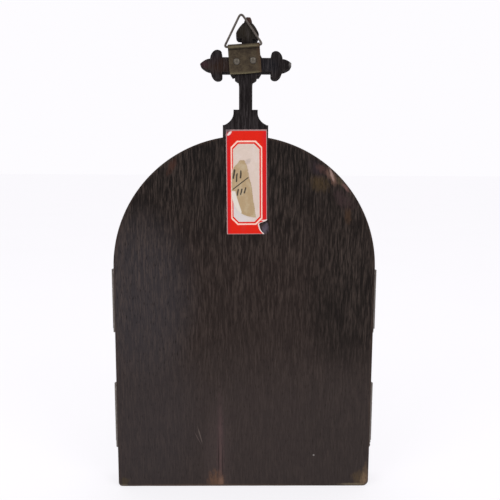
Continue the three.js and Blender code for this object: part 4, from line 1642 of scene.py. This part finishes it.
@dataclass
class Hinge(Part):
    """One butt hinge, laid on the sides of the panel and a wing: two leaves, a pin and four brads.

    Attributes:
        side: the wing that it carries.
        level: upper or lower.
        proud: how far the leaves stand out from the boards.
        knuckle_radius: outer radius of the knuckles.
        bore_radius: radius of their bore.
        pin_radius: radius of the pin.
        eased: how far the edges are rounded.
        plate_corner: radius of a leaf's corners.
        gap: play at the ends of the outer knuckles.
        web_start, web_overlap: where a web begins beside the pin, and how far it runs into the leaf.
        brad_depth: how far a brad would reach down from the CAD leaf's face if its leaf lay flush.
        ball: radius of the turned drop.
    """

    side: Side
    level: Level
    proud: float = 1.0
    knuckle_radius: float = 1.75
    bore_radius: float = 0.95
    pin_radius: float = 0.8
    eased: float = 0.25
    plate_corner: float = 1.2
    gap: float = 0.25
    web_start: float = 0.2
    web_overlap: float = 1.5
    brad_depth: float = 1.1
    ball: float = 1.4

    def __post_init__(self) -> None:
        """Read the leaves' and the pin's places from the frame."""
        self.name = f"{self.side.name.lower()}_{self.level.value}_hinge"
        pin_low, pin_high = box_mm(f"{self.name}_pin")
        self.centre = (pin_low + pin_high) / 2
        self.pin_foot, self.pin_head = pin_low[2], pin_high[2]
        self.panel_box = box_mm(f"{self.name}_panel_leaf")
        self.wing_box = box_mm(f"{self.name}_wing_leaf")

    def plate(self, near: float, far: float, low: float, high: float) -> Shell:
        """Return a leaf's plate: a rectangle with round corners and eased arrises, standing on its board.

        Args:
            near: its edge by the knuckles.
            far: its other edge.
            low: its foot.
            high: its top.

        Returns:
            The plate.
        """
        sign = self.side.value
        board = self.panel_box[1][0] if sign < 0 else self.panel_box[0][0]
        y0, y1, corner = min(near, far), max(near, far), self.plate_corner
        outline = np.vstack([
            arc(y, z, corner, start * np.pi, (start + 0.5) * np.pi, 7)
            for y, z, start in (
                (y1 - corner, low + corner, -0.5),
                (y1 - corner, high - corner, 0.0),
                (y0 + corner, high - corner, 0.5),
                (y0 + corner, low + corner, 1.0),
            )
        ])
        eased, proud = self.eased, self.proud
        steps = (
            (0.0, 0.0),
            (0.0, proud - eased),
            (eased * 0.4, proud - eased * 0.3),
            (eased, proud),
            (eased + 0.5, proud),
        )
        rings = []
        for inset, out in steps:
            moved = inward(outline, inset)
            rings.append(np.column_stack((np.full(len(moved), board + sign * out), moved)))
        rings = np.array(rings)
        edge = np.broadcast_to(np.array([0.3, 0.8, 1.0, 0.8, 0.0])[:, None], rings.shape[:2])
        return Shell.of_rings(rings, masks={"edge": edge})

    def barrel(self, low: float, high: float) -> Shell:
        """Return one knuckle: a tube with eased rims, its profile turned round the pin.

        Args:
            low: its foot.
            high: its top.

        Returns:
            The knuckle, closed upon itself.
        """
        r, b, e = self.knuckle_radius, self.bore_radius, self.eased
        profile = np.array((
            (b, low), (r - e, low), (r - 0.3 * e, low + 0.3 * e), (r, low + e),
            (r, high - e), (r - 0.3 * e, high - 0.3 * e), (r - e, high), (b, high),
        ))
        rings = lathe(profile, 36) + (self.centre[0], self.centre[1], 0)
        edge = np.broadcast_to(np.array([0, 0.6, 1, 0.5, 0.5, 1, 0.6, 0])[:, None], rings.shape[:2])
        return Shell.of_rings(rings, Ends.LOOP, {"edge": edge})

    def leaf_shells(self, toward: int, spans: list[tuple[float, float]]) -> list[Shell]:
        """Return one leaf: its plate, its knuckles, and the webs that join them.

        Args:
            toward: 1 for the panel's leaf and -1 for the wing's.
            spans: foot and top of each of its knuckles.

        Returns:
            The leaf's shells.
        """
        low, high = self.panel_box if toward > 0 else self.wing_box
        far = high[1] if toward > 0 else low[1]
        near = self.centre[1] + toward * (self.knuckle_radius + self.eased)
        web = self.centre[1] + toward * self.web_start
        shells = [self.plate(near, far, low[2], high[2])]
        for start, stop in spans:
            shells.append(self.barrel(start, stop))
            shells.append(self.plate(web, near + toward * self.web_overlap, start, stop))
        return shells

    def pin_shell(self) -> Shell:
        """Return the pin: round-headed, and on a lower hinge with a turned drop at its foot.

        Returns:
            The pin in its place.
        """
        low, high = self.panel_box[0][2], self.panel_box[1][2]
        r, past = self.pin_radius, 0.1
        dome = np.linspace(0, np.pi / 2, 6, endpoint=False)
        rise = (self.pin_head - high - past) * np.sin(dome)
        drop = (low - self.pin_foot - past) * np.sin(dome)
        head = np.column_stack((r * np.cos(dome), high + past + rise))
        foot = np.column_stack((r * np.cos(dome), low - past - drop))[::-1]
        if self.level is Level.LOWER:
            a = np.linspace(-np.pi / 2, 0.36 * np.pi, 12)[1:]
            turned = np.column_stack((np.cos(a), np.sin(a))) * self.ball + (0, self.pin_foot + self.ball)
            collar = np.array(((0.8, 2.0), (1.45, 1.7), (1.5, 1.0), (1.3, 0.3), (r, 0.2)))
            foot = np.vstack((turned, collar * (1, -1) + (0, low)))
        rings = lathe(np.vstack((foot, head)), 28) + (self.centre[0], self.centre[1], 0)
        return Shell.of_rings(rings, Ends.POLE)

    def brad_shell(self, node: str) -> Shell:
        """Return a low domed brad head in the place of its CAD node, its foot down on the leaf.

        Args:
            node: the CAD node.

        Returns:
            The head.
        """
        low, high = box_mm(node)
        middle = (low + high) / 2
        radius = (high[2] - low[2]) / 2
        height = high[0] - low[0]
        a = np.linspace(0, np.pi / 2, 8, endpoint=False)
        profile = np.column_stack((radius * np.cos(a) ** 0.7, height * np.sin(a)))
        profile = np.vstack(((radius, self.proud - self.brad_depth), profile))
        points = lathe(profile, 24)[..., [2, 0, 1]]
        base = low[0] if self.side is Side.RIGHT else high[0]
        points[..., 0] = base + self.side.value * points[..., 0]
        return Shell.of_rings(points + (0, middle[1], middle[2]), Ends.POLE)

    def make(self, steel: bpy.types.Material, nickel: bpy.types.Material) -> None:
        """Build the leaves, the pin and the brads.

        Args:
            steel: the leaves' and the pin's material.
            nickel: the brads' material.
        """
        wing = f"{self.side.name.lower()}_wing"
        low, high = self.panel_box[0][2], self.panel_box[1][2]
        third = (high - low) / 3
        outer = [(low, low + third - self.gap), (high - third + self.gap, high)]
        inner = [(low + third, high - third)]
        for toward, spans, body, word in ((1, outer, "root", "panel"), (-1, inner, wing, "wing")):
            node = f"{self.name}_{word}_leaf"
            leaf = build(f"steel_{node}", *self.leaf_shells(toward, spans))
            self.settle(leaf, steel, "dark_hinge_steel", body, node)
            for number in (1, 2):
                brad = f"{node}_brad_{number}"
                self.settle(build(f"round_{brad}", self.brad_shell(brad)), nickel, "dull_nickel", body, brad)
        pin = build(f"turned_{self.name}_pin", self.pin_shell())
        self.settle(pin, steel, "dark_hinge_steel", "root", f"{self.name}_pin")


# ---- Studio ----


@dataclass
class Studio:
    """A pale glowing table, soft lights and the camera behind the piece.

    Attributes:
        eye: the camera's place, its y counted from the panel's rear face.
        forward: the direction it looks in.
        roll: its turn about that direction.
        lens: its focal length.
        backdrop: the even tint behind the piece.
        glow: the table's own light.
        reflected: how much light the table throws back.
        dim: the room's light on the camera's side.
        gain: how much more there is overhead and in front of the wings.
        soft_light: side in metres and watts of each soft light.
    """

    eye: Spot = (1.9, 373.2, 206.8)
    forward: Spot = (-0.01395, -0.99134, -0.13055)
    roll: float = float(np.radians(0.29))
    lens: float = 43.2
    backdrop: Colour = (0.985, 0.972, 1.0)
    glow: float = 0.75
    reflected: float = 0.24
    dim: float = 0.12
    gain: float = 0.98
    soft_light: Place = (0.6, 4.2)

    def floor(self) -> None:
        """Lay a wide pale table that glows from below, so that only a soft shadow shows on it."""
        half = 30.0
        mesh = bpy.data.meshes.new("pale_floor")
        corners = [(-half, -half, 0), (half, -half, 0), (half, half, 0), (-half, half, 0)]
        mesh.from_pydata(corners, [], [(0, 1, 2, 3)])
        floor = bpy.data.objects.new("pale_floor", mesh)
        bpy.context.scene.collection.objects.link(floor)
        paint = PiecePaint("pale floor")
        tone = paint.noise((0.004, 0.004, 0.004), 1)
        shade = tuple(self.reflected * c for c in self.backdrop)
        sockets = {
            "Base Color": paint.mix(shade, tuple(1.04 * c for c in shade), tone),
            "Roughness": 0.9,
            "Specular IOR Level": 0.0,
            "Emission Color": (*self.backdrop, 1.0),
            "Emission Strength": self.glow,
        }
        mesh.materials.append(paint.finish(tone, sockets))

    def room(self) -> None:
        """Light the room: bright overhead and in front of the wings, dim on the camera's side.

        With y and z the parts of a direction, the strength is dim + gain times a smooth step of the
        larger of -2y and 3(z - 0.35). The eye itself sees the even backdrop.
        """
        world = bpy.data.worlds.new("studio")
        bpy.context.scene.world = world
        world.use_nodes = True
        paint = Paint(world.node_tree)
        _, y, z = paint.parts(paint.node("ShaderNodeTexCoord", {}, {}).outputs["Generated"])
        strength = (y * -2.0).most((z - 0.35) * 3.0).ramp(0.0, 1.0) * self.gain + self.dim
        tint = (*self.backdrop, 1.0)
        room = paint.node("ShaderNodeBackground", {}, {"Color": tint, "Strength": strength})
        seen = paint.node("ShaderNodeBackground", {}, {"Color": tint, "Strength": 1.0})
        camera_ray = paint.node("ShaderNodeLightPath", {}, {}).outputs["Is Camera Ray"]
        shaders = {0: camera_ray, 1: room.outputs[0], 2: seen.outputs[0]}
        choice = paint.node("ShaderNodeMixShader", {}, shaders)
        paint.node("ShaderNodeOutputWorld", {}, {0: choice.outputs[0]})

    def light(self, name: str, place: Spot, aim: Spot, size: float, power: float) -> None:
        """Hang one square soft light.

        Args:
            name: its name.
            place: where it hangs, in metres.
            aim: what it points at, in metres.
            size: its side, in metres.
            power: its power in watts.
        """
        data = bpy.data.lights.new(name, "AREA")
        data.size = size
        data.energy = power
        light = bpy.data.objects.new(name, data)
        bpy.context.scene.collection.objects.link(light)
        light.location = place
        light.rotation_mode = "QUATERNION"
        light.rotation_quaternion = (Vector(aim) - Vector(place)).to_track_quat("-Z", "Y")

    def camera(self) -> None:
        """Set the camera behind the piece, a little above its middle, looking slightly down."""
        back = box_mm("back_panel")[1][1]
        data = bpy.data.cameras.new("camera")
        data.lens = self.lens
        data.sensor_width = 36.0
        data.clip_start = 0.01
        camera = bpy.data.objects.new("camera", data)
        bpy.context.scene.collection.objects.link(camera)
        camera.location = Vector((self.eye[0], back + self.eye[1], self.eye[2])) * MM
        look = Vector(self.forward).to_track_quat("-Z", "Y")
        camera.rotation_mode = "QUATERNION"
        camera.rotation_quaternion = look @ Quaternion((0, 0, 1), self.roll)
        bpy.context.scene.camera = camera

    def make(self) -> None:
        """Set up the whole studio."""
        self.floor()
        self.room()
        middle = (0, 0, 0.15)
        self.light("left soft light", (0.8, 0.9, 0.8), middle, *self.soft_light)
        self.light("right soft light", (-0.8, 0.9, 0.8), middle, *self.soft_light)
        self.camera()
        bpy.context.scene.view_settings.view_transform = "Standard"


def board_tones() -> tuple[Stop, ...]:
    """Return the board's tones, from a lighter brown at its foot that paints light reflected from the floor
    up to its near-black head.
    """
    return (
        (0.0, (0.0325, 0.0240, 0.0224)), (0.20, (0.0330, 0.0240, 0.0222)), (0.28, (0.0312, 0.0225, 0.0205)),
        (0.36, (0.0275, 0.0193, 0.0170)), (0.45, (0.0205, 0.0134, 0.0114)), (0.62, (0.0156, 0.0096, 0.0080)),
        (0.69, (0.0138, 0.0086, 0.0072)), (0.78, (0.0092, 0.0059, 0.0049)), (0.88, (0.0066, 0.0045, 0.0038)),
        (1.0, (0.0062, 0.0044, 0.0038)),
    )


def board_washes() -> tuple[Wash, ...]:
    """Return the broad washes of the board: bluish ones at its left that paint a reflection, and brown and
    dark ones.
    """
    return (
        # Painted reflection: the first two washes lay a bluish sheen on the board's left, seen from behind.
        Wash(-68, 128, 34, 50, (0.036, 0.0312, 0.0345), 0.75),
        Wash(-62, 50, 30, 60, (0.033, 0.0270, 0.0285), 0.5),
        Wash(66, 128, 26, 45, (0.0062, 0.0044, 0.0035), 0.8),
        Wash(60, 35, 22, 40, (0.029, 0.0218, 0.0198), 0.5),
        Wash(-17, 22, 9, 34, (0.052, 0.037, 0.035), 0.6),
    )


def scuffs() -> tuple[Rub, ...]:
    """Return the scuffs of the board's head: the large one at its right from behind, one at its left."""
    return (
        Rub(46.2, 199.3, 6.6, 5.6, (0.058, 0.037, 0.0170), 0.8, 0.3),
        Rub(43.9, 208.8, 4.2, 6.0, (0.037, 0.025, 0.030), 0.6, 0.3),
        Rub(48.4, 207.6, 3.6, 3.8, (0.066, 0.034, 0.029), 0.85, 0.9),
        Rub(61.7, 189.2, 6.0, 7.0, (0.042, 0.025, 0.025), 0.85, 0.6),
        Rub(62.4, 197.2, 1.6, 3.4, (0.17, 0.092, 0.080), 0.8, 0.75),
        Rub(58.3, 200.9, 2.8, 2.6, (0.067, 0.050, 0.030), 0.85, 0.5),
        Rub(54.0, 203.2, 2.9, 5.4, (0.140, 0.080, 0.060), 0.95, 0.45, 2.8),
        Rub(53.6, 205.0, 1.1, 4.2, (0.34, 0.23, 0.20), 0.85, 0.35, 2.6),
        Rub(64.5, 179.6, 2.4, 5.6, (0.056, 0.030, 0.017), 0.75),
        Rub(-45.2, 209.0, 2.6, 5.5, (0.067, 0.023, 0.0137), 0.5, -0.4),
    )


def scratch_and_streak() -> tuple[Rub, ...]:
    """Return the double scratch, and the pale streak that runs down to a bare patch of the foot."""
    return (
        Rub(-28.7, 35.6, 0.5, 5.5, (0.16, 0.125, 0.11), 0.6, 0.26, 1.5),
        Rub(-30.2, 33.5, 0.4, 4.5, (0.12, 0.085, 0.08), 0.6, 0.5, 1.5),
        Rub(-15.4, 24.0, 2.6, 40.0, (0.070, 0.043, 0.043), 0.75, 0.0, 2.4),
        Rub(-15.6, 16.0, 1.7, 26.0, (0.088, 0.055, 0.052), 0.8, 0.0, 3.0),
        Rub(-16.6, 18.0, 0.6, 20.0, (0.016, 0.011, 0.010), 0.8, 0.0, 2.0),
        Rub(-14.1, 16.0, 0.5, 15.0, (0.018, 0.012, 0.011), 0.75, 0.0, 1.2),
        Rub(-18.0, 4.0, 6.0, 7.6, (0.118, 0.062, 0.038), 0.85, 0.0),
        Rub(-15.0, 1.5, 1.8, 7.0, (0.20, 0.115, 0.078), 0.7, 0.0, 2.4),
    )


def worn_foot() -> tuple[Rub, ...]:
    """Return the wear of the board's foot: its right corner from behind, its left one and its edge."""
    return (
        Rub(76.8, 5.6, 5.6, 5.6, (0.075, 0.050, 0.028), 0.85, 0.0, 3.0),
        Rub(80.4, 8.0, 2.0, 8.0, (0.120, 0.080, 0.048), 0.85, 0.0, 3.0),
        Rub(79.6, 4.4, 3.0, 4.4, (0.180, 0.120, 0.070), 0.8, 0.0, 3.0),
        Rub(73.0, 1.3, 11.0, 1.0, (0.170, 0.135, 0.085), 0.8, 0.0, 2.0),
        Rub(-78.2, 3.6, 3.0, 2.8, (0.060, 0.043, 0.022), 0.8),
        Rub(-79.0, 0.9, 4.0, 1.0, (0.150, 0.125, 0.080), 0.7, 0.0, 2.0),
        Rub(-20.0, 0.7, 70.0, 1.0, (0.098, 0.064, 0.046), 0.7, 0.0, 2.0),
    )


def board_oak(back: float) -> bpy.types.Material:
    """Return the panel's wood, with its white chip and the glue left where the label's corner is gone.

    Args:
        back: depth of its rear face.

    Returns:
        The material.
    """
    chip = Rub(45.9, 21.7, 0.7, 0.7, (0.30, 0.28, 0.27), 0.95, 0.0, 0.5)
    glue = Rub(12.6, 171.3, 2.2, 3.6, (0.12, 0.10, 0.13), 0.8)
    rubs = (*scuffs(), *scratch_and_streak(), *worn_foot(), chip, glue)
    return BlackenedOak(
        "blackened oak", board_tones(), washes=board_washes(), rubs=rubs, back_y=back
    ).material()


def wing_oak() -> bpy.types.Material:
    """Make the wings' wood.

    Returns:
        The material.
    """
    tones = ((0.0, (0.027, 0.020, 0.0175)), (1.0, (0.020, 0.0145, 0.013)))
    name = "blackened oak of the wings"
    return BlackenedOak(name, tones, roughness=0.48, calm_foot=0.8).material()


def cross_oak() -> bpy.types.Material:
    """Make the cross's wood: darker and duller, browned on one arm and rubbed at a few ends.

    Returns:
        The material.
    """
    black = (0.0090, 0.0068, 0.0070)
    washes = (
        Wash(-16, 270.0, 9, 5, (0.030, 0.0145, 0.0085), 0.6),
        Wash(-26, 270.5, 4, 4, (0.060, 0.024, 0.032), 0.45),
        Wash(-20, 274.0, 5, 4, (0.016, 0.011, 0.014), 0.5),
        Wash(1.5, 290, 8, 6, (0.024, 0.019, 0.011), 0.6),
        Wash(2.4, 297.5, 2.5, 3, (0.10, 0.045, 0.03), 0.5),
        Wash(14, 269.5, 6, 5, (0.008, 0.0095, 0.0125), 0.5),
    )
    rubs = (
        Rub(27.6, 270.6, 1.6, 2.4, (0.20, 0.19, 0.18), 0.8),
        Rub(10.2, 283.0, 1.0, 6.0, (0.03, 0.02, 0.02), 0.6),
    )
    return BlackenedOak(
        "blackened oak of the cross", ((0.0, black), (1.0, black)), 300.0, (0.072, 0.062, 0.062),
        worn=(0.045, 0.033, 0.028), roughness=0.5, gloss=0.06, washes=washes, rubs=rubs,
    ).material()


def hanger_metals() -> tuple[bpy.types.Material, ...]:
    """Make the metals of the hanger and of the brads.

    Returns:
        The strap's brass, the ring's steel and the nickel of the nails and brads.
    """
    brass = OldMetal(
        "tarnished brass", (0.100, 0.076, 0.047), (0.036, 0.025, 0.017), 0.8, 0.45, 0.9,
        lit=(0.20, 0.175, 0.10),
    )
    wire = OldMetal("steel wire", (0.15, 0.13, 0.115), (0.055, 0.045, 0.040), 0.5, 0.34, 0.7, 0.0, 0.1)
    nickel = OldMetal("dull nickel", (0.10, 0.088, 0.085), (0.045, 0.036, 0.034), 0.8, 0.45, 0.7)
    return brass.material(), wire.material(), nickel.material()


def pen_strokes() -> tuple[Stroke, ...]:
    """Return the faded pen strokes of the sticker: three above, a long slanting one, three below."""
    return (
        Stroke(-8.3, 2.6, 0.9, 5.0, 0.5),
        Stroke(-6.4, 0.6, 0.5, 4.6, 0.42),
        Stroke(-3.8, 2.9, 0.3, 4.2, 0.42),
        Stroke(-8.5, -4.2, 9.3, 7.1, 0.3),
        Stroke(-5.9, -7.8, 0.6, 3.4, 0.42),
        Stroke(-3.8, -7.4, 0.8, 3.2, 0.42),
        Stroke(-1.5, -6.4, 0.8, 3.0, 0.42),
    )


def main() -> None:
    """Build every piece in order, then the studio."""
    logging.basicConfig(level=logging.INFO, format="%(name)s: %(message)s")
    panel = ArchedPanel()
    back = panel.back
    board, wings, cross = board_oak(back), wing_oak(), cross_oak()
    brass, wire, nickel = hanger_metals()
    name = "dark hinge steel"
    steel = OldMetal(name, (0.18, 0.158, 0.154), (0.055, 0.045, 0.043), 0.85, 0.42, 0.75).material()

    panel.make(board)
    LilyCross().make(cross)
    Hanger(RearPlace(back, -1.05, 281.0, float(np.radians(4.5)))).make(brass, wire, nickel)
    middle = (1.1, 199.8, float(np.radians(0.6)))
    label = PaperLabel(RearPlace(back, *middle), thickness=0.25, lift=0.05)
    label.make(RedLabel(*middle).material())
    sticker = TornSticker(RearPlace(back + label.thickness, *middle), thickness=0.2, lift=0.12)
    sticker.make(BuffSticker(*middle, pen_strokes()).material())
    proud = {Side.RIGHT: 1.0, Side.LEFT: 0.45}
    for side in Side:
        Wing(side=side).make(wings)
        for level in Level:
            Hinge(side, level, proud[side]).make(steel, nickel)
    Studio().make()


if __name__ == "__main__":
    main()
